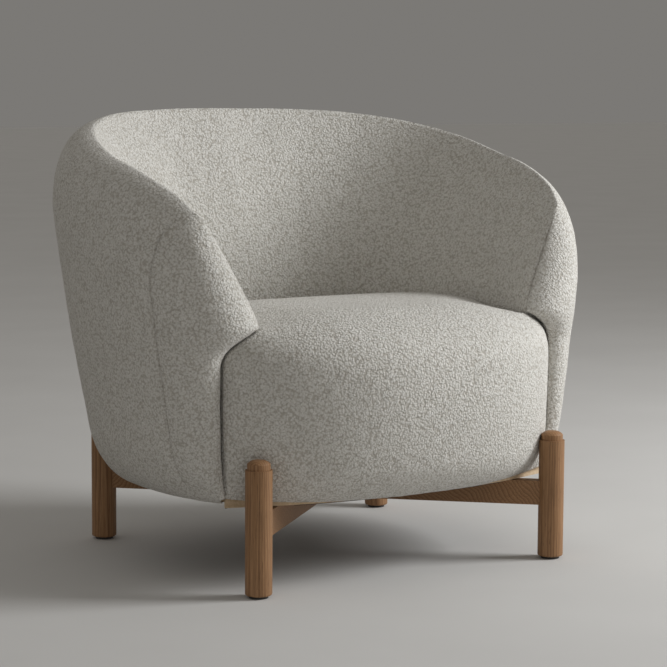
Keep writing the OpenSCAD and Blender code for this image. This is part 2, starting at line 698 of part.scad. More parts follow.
module seat_rail_back() {
    color(beech_colour) at_centre()
        translate([-back_rail_half_length, seat_frame_back_reach - seat_rail_thickness, board_top_z])
            cube([2 * back_rail_half_length, seat_rail_thickness, seat_rail_top_z - board_top_z]);
}

module seat_side_rail(side) {
    height = seat_rail_top_z + webbing_thickness - board_top_z;
    color(beech_colour) at_centre() translate([0, 0, board_top_z])
        intersection() {
            inside_front_rail(height);
            translate([side > 0 ? seat_frame_half_width - seat_rail_thickness : -seat_frame_half_width,
                -seat_front_reach, 0])
                cube([seat_rail_thickness, seat_front_reach + side_rail_back_reach, height]);
        }
}

module seat_rail_left() { seat_side_rail(-1); }
module seat_rail_right() { seat_side_rail(1); }

module seat_corner_rail(side) {
    along = unit(frame_corner[1] - frame_corner[0]);
    inner = frame_corner[0] + seat_rail_thickness * [-along[1], along[0]];
    low = inner + along * (side_rail_back_reach - inner[1]) / along[1];
    high = inner + along * (back_rail_half_length - inner[0]) / along[0];
    color(beech_colour) at_centre() translate([0, 0, board_top_z])
        linear_extrude(seat_rail_top_z - board_top_z)
            polygon([for (p = [frame_corner[0], frame_corner[1], high, low]) [side * p[0], p[1]]]);
}

module seat_rail_corner_left() { seat_corner_rail(-1); }
module seat_rail_corner_right() { seat_corner_rail(1); }

module seat_corner_blocks() {
    x = seat_frame_half_width - seat_rail_thickness;
    face = front_rail_face(front_rail_cover + seat_rail_thickness);
    y = face[len(face) - 1][1];
    color(beech_colour) at_centre() translate([0, 0, board_top_z])
        for (side = [-1, 1])
            intersection() {
                inside_front_rail(corner_block_height);
                linear_extrude(corner_block_height)
                    polygon([[side * x, y - corner_block_size],
                        [side * (x - corner_block_size), y - corner_block_size],
                        [side * (x - corner_block_size), y], [side * x, y + corner_block_size]]);
            }
}

// Ribs and arm posts
function turn_station(turn, r) =
    let (reach = turn <= 90 ? r[1] : r[2],
        k = abs(cos(turn)) < step_share ? 90 : atan(pow(abs(tan(turn)) * reach / r[0], plan_power / 2)))
    (turn <= 90 ? k : 180 - k) / end_angle(r[4], r[2]);
function turn_ring(turn, w, d) =
    let (near = turn_station(turn, ring(turn / end_angle(side_seam_reach, shell_front_reach), w, d)))
    ring(turn_station(turn, ring(near, w, d)), w, d);
function rib_point(turn, w, d) =
    let (r = turn_ring(turn, w, d)) [oval_radius(turn, r[0], turn <= 90 ? r[1] : r[2]), r[3]];

module rib(turn, side) {
    u = turn_station(turn, turn_ring(turn, 1, 0));
    depth = inner_padding + rib_margin;
    low_rail_z = rim_height(u) - top_rail_below_rim - top_rail_height;
    fall = rim_fall * rim_fall_power * rib_thickness / shell_half_width;
    top_z = low_rail_z - fall * u - fit_gap;
    top_w = 2 + (rim_height(u) - top_z - depth * rib_top_share) / (rim_height(u) - tuck_z);
    wall = [for (w = rib_outer_rows) rib_point(turn, w, outer_padding + rib_margin)];
    outer = [for (p = wall) if (p[1] < top_z - fit_gap) p];
    inner = [for (w = lining_rows) if (w > top_w) rib_point(turn, w, depth)];
    edge_r = rib_point(turn, 0, 0)[0] - rib_margin;
    color(ply_colour) at_centre()
        rotate([0, 0, 90 - side * turn]) rotate([90, 0, 0])
            translate([0, 0, -rib_thickness / 2])
                linear_extrude(rib_thickness)
                    polygon(concat([[edge_r - rib_foot_depth, board_top_z], [edge_r, board_top_z]],
                        outer, [[wall[len(wall) - 1][0], top_z],
                            [rib_point(turn, top_w, depth)[0], top_z]],
                        inner, [[edge_r - rib_foot_depth, board_top_z + rib_foot_height]]));
}

module rib_back_middle() { rib(0, 1); }
module rib_back_left() { rib(rib_back_turn, -1); }
module rib_back_right() { rib(rib_back_turn, 1); }
module rib_corner_left() { rib(rib_corner_turn, -1); }
module rib_corner_right() { rib(rib_corner_turn, 1); }
module rib_side_left() { rib(rib_side_turn, -1); }
module rib_side_right() { rib(rib_side_turn, 1); }
module arm_post_left() { rib(arm_post_turn, -1); }
module arm_post_right() { rib(arm_post_turn, 1); }

function top_rail_point(u, inset, drop) =
    let (p = shell_point(u, 1, inset)) [p[0], p[1], rim_height(u) - drop];
function top_rail_line(inset, drop) = [for (u = stations()) top_rail_point(u, inset, drop)];

module top_rail() {
    low = top_rail_below_rim + top_rail_height;
    far = top_rail_inset + top_rail_thickness;
    color(ply_colour) at_centre()
        slab([top_rail_line(top_rail_inset, low), top_rail_line(top_rail_inset, top_rail_below_rim)],
            [top_rail_line(far, low), top_rail_line(far, top_rail_below_rim)]);
}

module back_lining() {
    color(ply_colour) at_centre()
        slab(shell_grid(lining_rows, inner_padding + fit_gap, 1),
            shell_grid(lining_rows, inner_padding + fit_gap + lining_thickness, 1));
}

// Seat suspension and foam
module seat_webbing_long() {
    pitch = 2 * (seat_frame_half_width - seat_rail_thickness) / webbing_long_count;
    color(webbing_colour) at_centre() translate([0, 0, seat_rail_top_z])
        for (i = [0 : webbing_long_count - 1])
            translate([(i - (webbing_long_count - 1) / 2) * pitch - webbing_width / 2, 0, 0])
                intersection() {
                    translate([0, -seat_front_reach, 0])
                        cube([webbing_width, seat_front_reach + seat_frame_back_reach, webbing_thickness]);
                    translate([-(i - (webbing_long_count - 1) / 2) * pitch + webbing_width / 2, 0, 0])
                        linear_extrude(webbing_thickness)
                            polygon(concat(front_rail_face(front_rail_cover), frame_back()));
                }
}

module seat_webbing_cross() {
    face = front_rail_face(front_rail_cover + seat_rail_thickness);
    first_y = face[len(face) - 1][1];
    pitch = (side_rail_back_reach - webbing_width - first_y) / (webbing_cross_count - 1);
    color(webbing_colour) at_centre()
        for (i = [0 : webbing_cross_count - 1])
            translate([-seat_frame_half_width, first_y + i * pitch, seat_rail_top_z + webbing_thickness])
                cube([2 * seat_frame_half_width, webbing_width, webbing_thickness]);
}

module seat_foam() {
    rows = concat([1], seat_top_rows);
    top = [for (r = rows) [for (s = seat_columns) seat_inner(s, r, cover_thickness + fit_gap)]];
    bottom = [for (row = top) [for (p = row)
        [p[0] * seat_foam_draft_share, p[1] * seat_foam_draft_share, deck_z + fit_gap]]];
    color(foam_colour) at_centre() slab(top, bottom, true);
}

module seat_front_foam() {
    face = [for (r = front_foam_rows) [for (s = front_foam_columns)
        seat_inner(s, r, cover_thickness + fit_gap)]];
    back = [for (r = front_foam_rows) [for (s = front_foam_columns)
        let (p = seat_inner(s, r, cover_thickness + fit_gap),
            q = pull_in(flat(seat_point(s, front_rail_row)), front_rail_cover - fit_gap))
        [q[0], q[1], p[2]]]];
    color(foam_colour) at_centre() slab(face, back, true);
}

module back_padding() {
    color(wadding_colour) at_centre()
        slab(shell_grid(padding_rows, cover_thickness + fit_gap, 1),
            [for (w = padding_rows) [for (u = stations(1)) shell_point(u, w, padding_depth(w))]]);
}

module arm_front_foam() {
    face = [for (q = nose_rows) if (q > nose_foot_share / 3) [for (t = nose_columns)
        nose_inner(t, q, cover_thickness + fit_gap) + [0, -seam_gap, 0]]];
    back = [for (row = face) [for (i = [0 : len(row) - 1])
        mix(row[0], row[len(row) - 1], nose_columns[i])]];
    color(foam_colour) at_centre() slab(face, back);
}

module arm_front_foam_left() { mirror([1, 0, 0]) arm_front_foam(); }
module arm_front_foam_right() { arm_front_foam(); }

// Cover
module back_cover() {
    color(fabric_colour) at_centre()
        slab(shell_grid(shell_rows, 0), shell_grid(shell_rows, cover_thickness));
}

module arm_front_cover() {
    shift = [0, -seam_gap, 0];
    color(fabric_colour) at_centre()
        slab([for (q = nose_rows) [for (t = nose_columns) nose_point(t, q) + shift]],
            [for (q = nose_rows) [for (t = nose_columns) nose_inner(t, q, cover_thickness) + shift]]);
}

module arm_front_cover_left() { mirror([1, 0, 0]) arm_front_cover(); }
module arm_front_cover_right() { arm_front_cover(); }

module seat_cover() {
    color(fabric_colour) at_centre()
        slab([for (r = seat_rows) [for (s = seat_columns) seat_point(s, r)]],
            [for (r = seat_rows) [for (s = seat_columns) seat_inner(s, r, cover_thickness)]], true);
}

leg_front_left();
leg_front_right();
leg_back_left();
leg_back_right();
leg_glides();
cross_rail_left();
cross_rail_right();
rail_dowels();
base_bolts();
base_washers();
base_tee_nuts();
base_board();
dust_cover();
seat_rail_front();
seat_rail_back();
seat_rail_left();
seat_rail_right();
seat_rail_corner_left();
seat_rail_corner_right();
seat_corner_blocks();
rib_back_middle();
rib_back_left();
rib_back_right();
rib_corner_left();
rib_corner_right();
rib_side_left();
rib_side_right();
arm_post_left();
arm_post_right();
top_rail();
back_lining();
seat_webbing_long();
seat_webbing_cross();
seat_foam();
seat_front_foam();
back_padding();
arm_front_foam_left();
arm_front_foam_right();
back_cover();
arm_front_cover_left();
arm_front_cover_right();
seat_cover();
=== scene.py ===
"""The looks of an upholstered tub chair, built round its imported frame. Lengths are in metres.

The front of the chair looks along -Y, and the frame's origin is the middle of its box on the floor.
"""

import math

import bmesh
import bpy
import numpy as np
from mathutils import Matrix, Vector, noise


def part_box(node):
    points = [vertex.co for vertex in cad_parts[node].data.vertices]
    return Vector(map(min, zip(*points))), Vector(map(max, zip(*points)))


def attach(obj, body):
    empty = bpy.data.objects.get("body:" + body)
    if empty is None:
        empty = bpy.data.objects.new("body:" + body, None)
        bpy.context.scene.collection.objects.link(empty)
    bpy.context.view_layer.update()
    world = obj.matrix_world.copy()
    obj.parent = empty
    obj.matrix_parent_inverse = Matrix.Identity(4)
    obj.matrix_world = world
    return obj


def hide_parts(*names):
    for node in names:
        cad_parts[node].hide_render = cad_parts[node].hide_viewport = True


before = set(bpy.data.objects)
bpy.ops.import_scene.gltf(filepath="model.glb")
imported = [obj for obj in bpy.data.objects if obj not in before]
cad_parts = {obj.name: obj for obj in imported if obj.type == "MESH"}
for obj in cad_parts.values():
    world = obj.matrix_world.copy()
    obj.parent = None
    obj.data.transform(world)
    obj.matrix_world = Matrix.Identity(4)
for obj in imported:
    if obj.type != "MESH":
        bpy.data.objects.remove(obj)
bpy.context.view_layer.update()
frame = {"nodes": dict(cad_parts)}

# The body's own sizes, as in the frame
BACK_HEIGHT = 0.735
RIM_FALL = 0.148
SHELL_HALF_WIDTH, SHELL_BACK, SHELL_FRONT = 0.445, 0.396, 0.365
FOOT_HALF_WIDTH, FOOT_BACK = 0.391, 0.314
FLARE_Z, WIDEST_Z, WIDEST_BELOW_RIM = 0.213, 0.612, 0.114
RIM_HALF_WIDTH, RIM_BACK, RIM_FRONT = 0.374, 0.343, 0.392
INNER_HALF_WIDTH, INNER_BACK, INNER_FRONT = 0.260, 0.232, 0.820
TUCK_Z, DECK_Z, BODY_Z = 0.409, 0.284, 0.130
SIDE_SEAM, RIM_SEAM, SEAM_LEAN = 0.150, 0.196, 0.024
UNDER_WIDTH, UNDER_HEIGHT = 0.060, 0.095
SEAT_HEIGHT, SEAT_FRONT, SEAT_BACK = 0.427, 0.345, 0.227
SEAT_OVAL, SEAT_HALF_WIDTH, SEAT_TOP_HALF_WIDTH = 0.365, 0.313, 0.252
SEAT_BULGE_Z, SEAT_LEAN, SEAT_ROUND = 0.331, 0.048, 0.137
SEAT_UNDER_WIDTH, SEAT_UNDER_HEIGHT = 0.050, 0.061
SEAT_SIDE_DROP, SEAT_SHOULDER_DROP, SEAT_BACK_DROP = 0.007, 0.022, 0.044
SEAT_EDGE_TUCK, SEAT_CORNER_LIFT, SEAT_FOOT_DRAW = 0.005, 0.016, 0.006
CREASE_GAP, SEAT_FOOT_GAP = 0.0012, 0.001
CENTRE_Y = (SEAT_FRONT - SHELL_BACK) / 2

# How the curves run, as powers and shares
PLAN_POWER, RIM_FALL_POWER, ROUND_POWER = 2.36, 2.44, 2.22
FLARE_STRAIGHT, FLARE_BELOW, FLARE_POWER = 0.52, 1.2, 1.7
INNER_POWER, INNER_ROLL_POWER = 1.42, 1.05
SEAT_SHOULDER, SEAT_CROWN, SEAT_FLAT = 0.93, 0.28, 0.18
SEAT_SIDE_POWER, SEAT_BACK_POWER, SEAT_CREASE_POWER = 3.2, 1.85, 10
SEAT_LIFT_POWER, SEAT_FOOT_POWER, SEAT_EDGE_POWER = 3, 3, 16
SHELL_END_TURN = 0.3        # share of the stretch behind the seat in which the shell's ends draw back

# The front of an arm, in shares of its height: its tip, its foot, and where it starts to turn over the
# rim and to close there. NOSE_TOP and SEAM_TOP say how far past rows 1 and 2 of the shell its side and
# its rim seam end, and TIP_ROW is the seat's row at its tip. The pulls say how far the curve across it
# runs on from the side seam and from the crease, as shares of its span, and NOSE_LEAVE is its way there
NOSE_TIP, NOSE_FOOT, NOSE_TURN, NOSE_CLOSE = 0.62, 0.16, 0.55, 0.8
NOSE_TOP, SEAM_TOP, TIP_ROW = 0.5, 0.02, 1.74
TIP_POWER, TIP_CLOSE_POWER = 0.9, 4
SIDE_PULL, SEAM_PULL = 0.50, 0.42
NOSE_LEAVE = (0.62, -0.785, 0.0)
SKIN_STEP, RIM_STEP = 0.04, 0.002     # how far apart the points lie that give a skin's direction


def mix(a, b, k):
    """From a, with k 0, to b, with k 1."""
    return a + (b - a) * k


def share(v, low, high):
    """How far v has come from low to high, from 0 to 1."""
    return np.clip((v - low) / (high - low), 0.0, 1.0)


def unit(v):
    return v / np.maximum(np.linalg.norm(v, axis=-1, keepdims=True), 1e-12)


def oval(angle, half, back, front):
    """A point of the plan's oval; the angle is 0 at the back and pi at the front."""
    c, k = np.cos(angle), 2 / PLAN_POWER
    return half * np.abs(np.sin(angle)) ** k, np.where(c >= 0, back, -front) * np.abs(c) ** k


def end_angle(reach, front):
    """The angle at which the oval is cut off, so far in front of the middle."""
    return np.pi - np.arccos((reach / front) ** (PLAN_POWER / 2))


def flare(z):
    """How far the outer wall has flared at a height, from 0 at its foot to 1 at its widest."""
    k = np.minimum((z - FLARE_Z) / (WIDEST_Z - FLARE_Z), 1)
    up = np.clip(k, 0, 1)
    rise = FLARE_STRAIGHT * up + (1 - FLARE_STRAIGHT) * (1 - (1 - up) ** FLARE_POWER)
    return np.where(k > 0, rise, FLARE_BELOW * k)


def under_inset(z, width, height):
    """How far the rounding under the body draws in at a height."""
    k = np.clip((BODY_Z + height - z) / height, 0, 1)
    return width * (1 - np.sqrt(1 - k * k))


def shell_point(u, w):
    """The shell's skin: u from -1 at the left arm to 1 at the right arm, w from 0 to 1 up the outer
    wall, to 2 over the shoulder to the crest, to 3 down the inner wall and to 4 behind the seat."""
    u, w = np.broadcast_arrays(np.asarray(u, float), np.asarray(w, float))
    rim = BACK_HEIGHT - RIM_FALL * np.abs(u) ** RIM_FALL_POWER
    wide = flare(rim - WIDEST_BELOW_RIM)
    wide_x = mix(FOOT_HALF_WIDTH, SHELL_HALF_WIDTH, wide)
    wide_y = mix(FOOT_BACK, SHELL_BACK, wide)
    # outer wall
    z1 = mix(BODY_Z, rim - WIDEST_BELOW_RIM, np.clip(w, 0, 1))
    inset = under_inset(z1, UNDER_WIDTH, UNDER_HEIGHT)
    x1 = mix(FOOT_HALF_WIDTH, SHELL_HALF_WIDTH, flare(z1)) - inset
    y1 = mix(FOOT_BACK, SHELL_BACK, flare(z1)) - inset
    # shoulder
    turn = np.clip(w - 1, 0, 1) * np.pi / 2
    c = np.maximum(np.cos(turn), 0) ** (2 / ROUND_POWER)
    z2 = rim - WIDEST_BELOW_RIM * (1 - np.sin(turn) ** (2 / ROUND_POWER))
    # inner wall, and the part of it behind the seat
    v, tuck = np.clip(w - 2, 0, 1), np.clip(w - 3, 0, 1)
    g = (1 - (1 - v) ** INNER_POWER) ** INNER_ROLL_POWER
    z3 = mix(rim, TUCK_Z, v) - tuck * (TUCK_Z - DECK_Z)
    spread = SEAT_EDGE_TUCK * tuck
    outer, over = w <= 1, w <= 2

    def pick(a, b, d):
        return np.where(outer, a, np.where(over, b, d))

    half = pick(x1, mix(RIM_HALF_WIDTH, wide_x, c), mix(RIM_HALF_WIDTH, INNER_HALF_WIDTH, g) + spread)
    back = pick(y1, mix(RIM_BACK, wide_y, c), mix(RIM_BACK, INNER_BACK, g) + spread)
    front = pick(SHELL_FRONT - inset, mix(RIM_FRONT, SHELL_FRONT, c), mix(RIM_FRONT, INNER_FRONT, g * g))
    end = pick(SIDE_SEAM, mix(RIM_SEAM, SIDE_SEAM, c),
               RIM_SEAM + SEAM_LEAN * v - 2 * SEAM_LEAN * np.clip(tuck / SHELL_END_TURN, 0, 1))
    x, y = oval(np.abs(u) * end_angle(end, front), half, back, front)
    return np.stack([np.sign(u) * x, y + CENTRE_Y, pick(z1, z2, z3)], -1)


def seat_point(s, r):
    """The seat's skin: s from -1 to 1 across, r from 0 to 1 up the front, to 2 over the front edge,
    and to 3 along the top to the back."""
    s, r = np.broadcast_arrays(np.asarray(s, float), np.asarray(r, float))
    a, depth = np.abs(s), SEAT_BACK + SEAT_FRONT
    lift = SEAT_CORNER_LIFT * a ** SEAT_LIFT_POWER
    z1 = mix(BODY_Z + SEAT_FOOT_GAP + lift, SEAT_BULGE_Z, np.clip(r, 0, 1))
    k = (SEAT_BULGE_Z - z1) / (SEAT_BULGE_Z - BODY_Z)
    in1 = SEAT_LEAN * k * k + under_inset(z1, SEAT_UNDER_WIDTH, SEAT_UNDER_HEIGHT)
    in1 = in1 * (1 - a ** SEAT_CREASE_POWER)
    turn = np.clip(r - 1, 0, 1) * np.pi / 2
    in2 = SEAT_ROUND * (1 - np.maximum(np.cos(turn), 0) ** (2 / ROUND_POWER))
    z2 = mix(SEAT_BULGE_Z, SEAT_HEIGHT, np.sin(turn) ** (2 / ROUND_POWER))
    t = np.clip(r - 2, 0, 1)
    in3 = mix(SEAT_ROUND, depth, t)
    z3 = SEAT_HEIGHT - SEAT_BACK_DROP * share(t, SEAT_CROWN, 1) ** SEAT_BACK_POWER
    inset = np.where(r <= 1, in1, np.where(r <= 2, in2, in3))
    z = np.where(r <= 1, z1, np.where(r <= 2, z2, z3))
    rise = np.sin(turn)
    half = mix(SEAT_HALF_WIDTH, SEAT_TOP_HALF_WIDTH,
               np.minimum(rise / SEAT_SHOULDER, 1) ** SEAT_SIDE_POWER)
    x = s * (half - SEAT_FOOT_DRAW * (1 - np.clip(r, 0, 1)) ** SEAT_FOOT_POWER)
    q = (1 - (np.abs(x) / SEAT_OVAL) ** PLAN_POWER) ** (1 / PLAN_POWER)
    y = SEAT_BACK - (depth - inset) * (SEAT_BACK + SEAT_FRONT * q) / depth
    y = y + np.where(r <= 2, SEAT_EDGE_TUCK * a ** SEAT_EDGE_POWER, 0)
    back = np.clip(y / SEAT_BACK, 0, 1) ** PLAN_POWER
    x = x * (1 - back / 2) ** (1 / PLAN_POWER)
    y = np.where(y > 0, y * (1 - a ** PLAN_POWER / 2) ** (1 / PLAN_POWER), y)
    drop = mix(SEAT_SHOULDER_DROP, SEAT_SIDE_DROP, share(t, 0, SEAT_FLAT))
    z = z - rise * (drop * a ** SEAT_SIDE_POWER + SEAT_EDGE_TUCK * a ** SEAT_EDGE_POWER)
    return np.stack([x, y + CENTRE_Y, z], -1)


def nose_edge(q):
    """The edge of an arm front towards the seat: along the crease to the tip, then up the panel seam."""
    k = np.clip(q / NOSE_TIP, 0, 1)
    close = k ** TIP_CLOSE_POWER
    crease = seat_point(1.0, TIP_ROW * k ** TIP_POWER)
    gap = CREASE_GAP * (1 - close)
    crease = crease + (shell_point(1.0, 3.0) - seat_point(1.0, TIP_ROW)) * close[..., None]
    crease = crease + np.stack([gap, 0 * gap, 0 * gap], -1)
    seam = shell_point(1.0, mix(3.0, 2 + SEAM_TOP, share(q, NOSE_TIP, 1)))
    return np.where((q <= NOSE_TIP)[..., None], crease, seam)


def nose_point(t, q):
    """The front of the right arm: t from 0 at the side seam to 1 at the seat, q from 0 at the bottom
    to 1 at the rim."""
    t, q = np.broadcast_arrays(np.asarray(t, float), np.asarray(q, float))
    w = q * (1 + NOSE_TOP)
    start, stop = shell_point(1.0, w), nose_edge(q)
    along = unit(start - shell_point(1 - SKIN_STEP, w))
    above, below = np.minimum(w + SKIN_STEP, 2), np.maximum(w - SKIN_STEP, 0)
    up = unit(shell_point(1.0, above) - shell_point(1.0, below))
    over = unit(shell_point(1.0, 2 + RIM_STEP) - shell_point(1.0, 2 + 4 * RIM_STEP))
    m = (share(q, NOSE_TURN, 1) ** 2)[..., None]
    leave = unit(mix(along, up, m))
    front = unit(mix(np.array([1.0, 0.0, 0.0]), np.array(NOSE_LEAVE), share(q, 0, NOSE_FOOT)[..., None]))
    arrive = unit(mix(front, over, m))
    span = np.linalg.norm(stop - start, axis=-1, keepdims=True)
    c1, c2 = start + leave * span * SIDE_PULL, stop + arrive * span * SEAM_PULL
    t3 = t[..., None]
    k = 1 - t3
    p = k ** 3 * start + 3 * k * k * t3 * c1 + 3 * k * t3 * t3 * c2 + t3 ** 3 * stop
    close = (share(q, NOSE_CLOSE, 1) ** 2)[..., None]
    return mix(p, shell_point(1.0, mix(1 + NOSE_TOP, 2 + SEAM_TOP, t)), close)


# Meshes. Lines of a grid lie nearly evenly along it, with a few close to each seam, where the skin dips
EVEN_SAMPLES, EVEN_POWER = 4001, 0.7
SEAM_LINES = (0.0005, 0.0012, 0.0022, 0.0045)
UNDER_ROWS = 8


def even(curve, low, high, count):
    """Parameters from low to high at which points of curve(p) lie nearly evenly along it."""
    p = np.linspace(low, high, EVEN_SAMPLES)
    steps = np.linalg.norm(np.diff(curve(p), axis=0), axis=1) ** EVEN_POWER
    length = np.concatenate([[0], np.cumsum(steps)])
    return np.interp(np.linspace(0, length[-1], count), length, p)


def band_rows(curve, counts):
    """Parameters up the bands 0 to 1, 1 to 2 and so on of a skin, so many in each, none of them twice."""
    return np.concatenate([even(curve, k, k + 1, count)[min(k, 1):] for k, count in enumerate(counts)])


def with_edges(values, near=SEAM_LINES):
    """Adds lines close to both ends of a list of parameters, where a seam turns in."""
    low, high = values[0], values[-1]
    inner = values[1:-1]
    scale = high - low
    first = [low + n * scale for n in near]
    last = [high - n * scale for n in reversed(near)]
    inner = inner[(inner > first[-1]) & (inner < last[0])]
    return np.concatenate([[low], first, inner, last, [high]])


def make_mesh(name, points, faces, closed=True):
    """A smooth object from points and faces; a closed one has its faces turned outwards."""
    mesh = bpy.data.meshes.new(name)
    mesh.from_pydata([tuple(p) for p in points], [], faces)
    mesh.validate()
    mesh.update()
    mesh.polygons.foreach_set("use_smooth", [True] * len(mesh.polygons))
    if closed:
        solid = bmesh.new()
        solid.from_mesh(mesh)
        if solid.calc_volume(signed=True) < 0:
            mesh.flip_normals()
        solid.free()
    obj = bpy.data.objects.new(name, mesh)
    bpy.context.scene.collection.objects.link(obj)
    return obj


def loop_body(name, grid):
    """A closed body whose rows run round it: grid[row, column], the last row joined to the first, and
    its two ends capped."""
    rows, cols = grid.shape[:2]
    index = np.arange(rows * cols).reshape(rows, cols)
    nxt = np.roll(index, -1, axis=0)
    faces = np.stack([index[:, :-1], index[:, 1:], nxt[:, 1:], nxt[:, :-1]], -1).reshape(-1, 4).tolist()
    faces.append(index[:, 0].tolist())
    faces.append(index[::-1, -1].tolist())
    return make_mesh(name, grid.reshape(-1, 3), faces)


def close_under(grid):
    """A skin's rows, with rows under it from its last one back to its first."""
    low = mix(grid[-1], grid[0], np.linspace(0, 1, UNDER_ROWS)[1:-1][:, None, None])
    return np.concatenate([grid, low])


def ring_body(name, rings):
    """A closed body from a stack of closed rings: rings[row, point], with both ends capped."""
    rows, cols = rings.shape[:2]
    a = np.arange(rows * cols).reshape(rows, cols)
    b = np.roll(a, -1, axis=1)
    faces = np.stack([a[:-1], b[:-1], b[1:], a[1:]], -1).reshape(-1, 4).tolist()
    faces.append(a[0, ::-1].tolist())
    faces.append(a[-1].tolist())
    return make_mesh(name, rings.reshape(-1, 3), faces)


def slab_body(name, front, back):
    """A closed body between two grids of the same shape."""
    rows, cols = front.shape[:2]
    count = rows * cols
    a = np.arange(count).reshape(rows, cols)
    b = a + count
    faces = np.stack([a[:-1, :-1], a[:-1, 1:], a[1:, 1:], a[1:, :-1]], -1).reshape(-1, 4).tolist()
    faces += np.stack([b[:-1, :-1], b[1:, :-1], b[1:, 1:], b[:-1, 1:]], -1).reshape(-1, 4).tolist()
    rim = np.concatenate([a[0, :-1], a[:-1, -1], a[-1, :0:-1], a[:0:-1, 0]])
    after = np.roll(rim, -1)
    faces += np.stack([after, rim, rim + count, after + count], -1).tolist()
    return make_mesh(name, np.concatenate([front.reshape(-1, 3), back.reshape(-1, 3)]), faces)


def grid_normals(grid, way=1):
    """The way out of the skin at each point; way is -1 where the grid's rows run the other way round."""
    across, up = np.gradient(grid, axis=1), np.gradient(grid, axis=0)
    return way * unit(np.cross(across, up))


def noise_at(points, scale, shift):
    """Smooth noise at points, its waves 1 / scale long; shift gives each use a pattern of its own."""
    flat = points.reshape(-1, 3) * scale + shift
    return np.array([noise.noise(Vector(p)) for p in flat]).reshape(points.shape[:-1])


def arc_distance(grid, axis):
    """Distance along each line of the grid from its start and from its end."""
    step = np.linalg.norm(np.diff(grid, axis=axis), axis=-1)
    zero = np.zeros_like(np.take(step, [0], axis=axis))
    run = np.concatenate([zero, np.cumsum(step, axis=axis)], axis=axis)
    return run, np.take(run, [-1], axis=axis) - run


# Cloth. Each cover is blown up once on a coarse grid of about its size, across and up
CLOTH_STEP = 0.013
CLOTH_FRAMES = 20
CLOTH_PRESSURE = 4.0
CLOTH_SLACK = 0.006
SHELL_CLOTH, ARM_CLOTH, SEAT_CLOTH = (2.2, 1.15), (0.16, 0.46), (0.62, 0.85)
SWELL_MOST, SWELL_PASSES = 0.0045, 5


def cloth_sheet(name, grid, way):
    """An open sheet over a grid of points, held along its border."""
    rows, cols = grid.shape[:2]
    a = np.arange(rows * cols).reshape(rows, cols)
    faces = np.stack([a[:-1, :-1], a[:-1, 1:], a[1:, 1:], a[1:, :-1]], -1).reshape(-1, 4).tolist()
    sheet = make_mesh(name, grid.reshape(-1, 3), faces, closed=False)
    if way < 0:
        sheet.data.flip_normals()
    held = sheet.vertex_groups.new(name="held")
    border = np.unique(np.concatenate([a[0], a[-1], a[:, 0], a[:, -1]])).tolist()
    held.add(border, 1.0, "REPLACE")
    return sheet


def add_cloth(sheet):
    """Gives a sheet the stiffness of upholstery fabric, a little slack and the pressure under it."""
    settings = sheet.modifiers.new("cloth", "CLOTH").settings
    settings.quality = 6
    settings.mass = 0.25
    settings.tension_stiffness = settings.compression_stiffness = 12
    settings.shear_stiffness = 6
    settings.bending_stiffness = 0.4
    settings.use_pressure = True
    settings.uniform_pressure_force = CLOTH_PRESSURE
    settings.vertex_group_mass = "held"
    settings.shrink_min = -CLOTH_SLACK
    settings.effector_weights.gravity = 0


def simulate(sheet):
    """Where the sheet's points lie when the cloth has settled."""
    add_cloth(sheet)
    for frame_number in range(1, CLOTH_FRAMES + 1):
        bpy.context.scene.frame_set(frame_number)
    settled = sheet.evaluated_get(bpy.context.evaluated_depsgraph_get()).data
    points = np.empty(len(settled.vertices) * 3)
    settled.vertices.foreach_get("co", points)
    bpy.context.scene.frame_set(1)
    bpy.data.objects.remove(sheet)
    return points.reshape(-1, 3)


def weights(old, new):
    """A matrix that carries values at the parameters old to the parameters new, by smooth curves."""
    at = np.interp(new, old, np.arange(len(old)))
    cell = np.minimum(at.astype(int), len(old) - 2)
    f = at - cell
    parts = ((-f + 2 * f * f - f ** 3) / 2, (2 - 5 * f * f + 3 * f ** 3) / 2,
             (f + 4 * f * f - 3 * f ** 3) / 2, (f ** 3 - f * f) / 2)
    table = np.zeros((len(new), len(old)))
    for k, part in enumerate(parts):
        np.add.at(table, (np.arange(len(new)), np.clip(cell + k - 1, 0, len(old) - 1)), part)
    return table


def smoothed(values, passes):
    """Values on a grid, averaged with their neighbours; the border keeps its own."""
    for _ in range(passes):
        middle = values[1:-1, 1:-1] * 2 + values[:-2, 1:-1] + values[2:, 1:-1]
        values = values.copy()
        values[1:-1, 1:-1] = (middle + values[1:-1, :-2] + values[1:-1, 2:]) / 6
    return values


def swell(name, point, across, up, size, way=1):
    """How far the padded skin point(across, up) swells outwards between its seams, and never inwards.
    size is the rough size of the piece, across and up."""
    c = np.linspace(0, len(across) - 1, int(size[0] / CLOTH_STEP))
    r = np.linspace(0, len(up) - 1, int(size[1] / CLOTH_STEP))
    c, r = (np.interp(k, np.arange(len(v)), v) for k, v in ((c, across), (r, up)))
    grid = point(c[None, :], r[:, None])
    n = grid_normals(grid, way)
    moved = simulate(cloth_sheet(name, grid, way)).reshape(grid.shape) - grid
    lift = SWELL_MOST * np.tanh(np.maximum((moved * n).sum(-1), 0) / SWELL_MOST)
    return weights(r, up) @ smoothed(lift, SWELL_PASSES) @ weights(c, across).T


# Seams and the unevenness of the skin. SEAM_FADE is how far from a seam the skin lifts in full
SEAM_DEPTH, SEAM_WIDTH, SEAM_FADE = 0.0032, 0.0017, 0.012
PUCKER_LIFT, PUCKER_SCALE, PUCKER_REACH, PUCKER_SHIFT = 0.0011, 42.0, 0.016, 2.0
FOAM_LIFT, FOAM_SCALE, FOAM_SHIFT = 0.0009, 9.0, 3.1
FIBRE_LIFT, FIBRE_SCALE, FIBRE_SHIFT = 0.00045, 60.0, 7.7

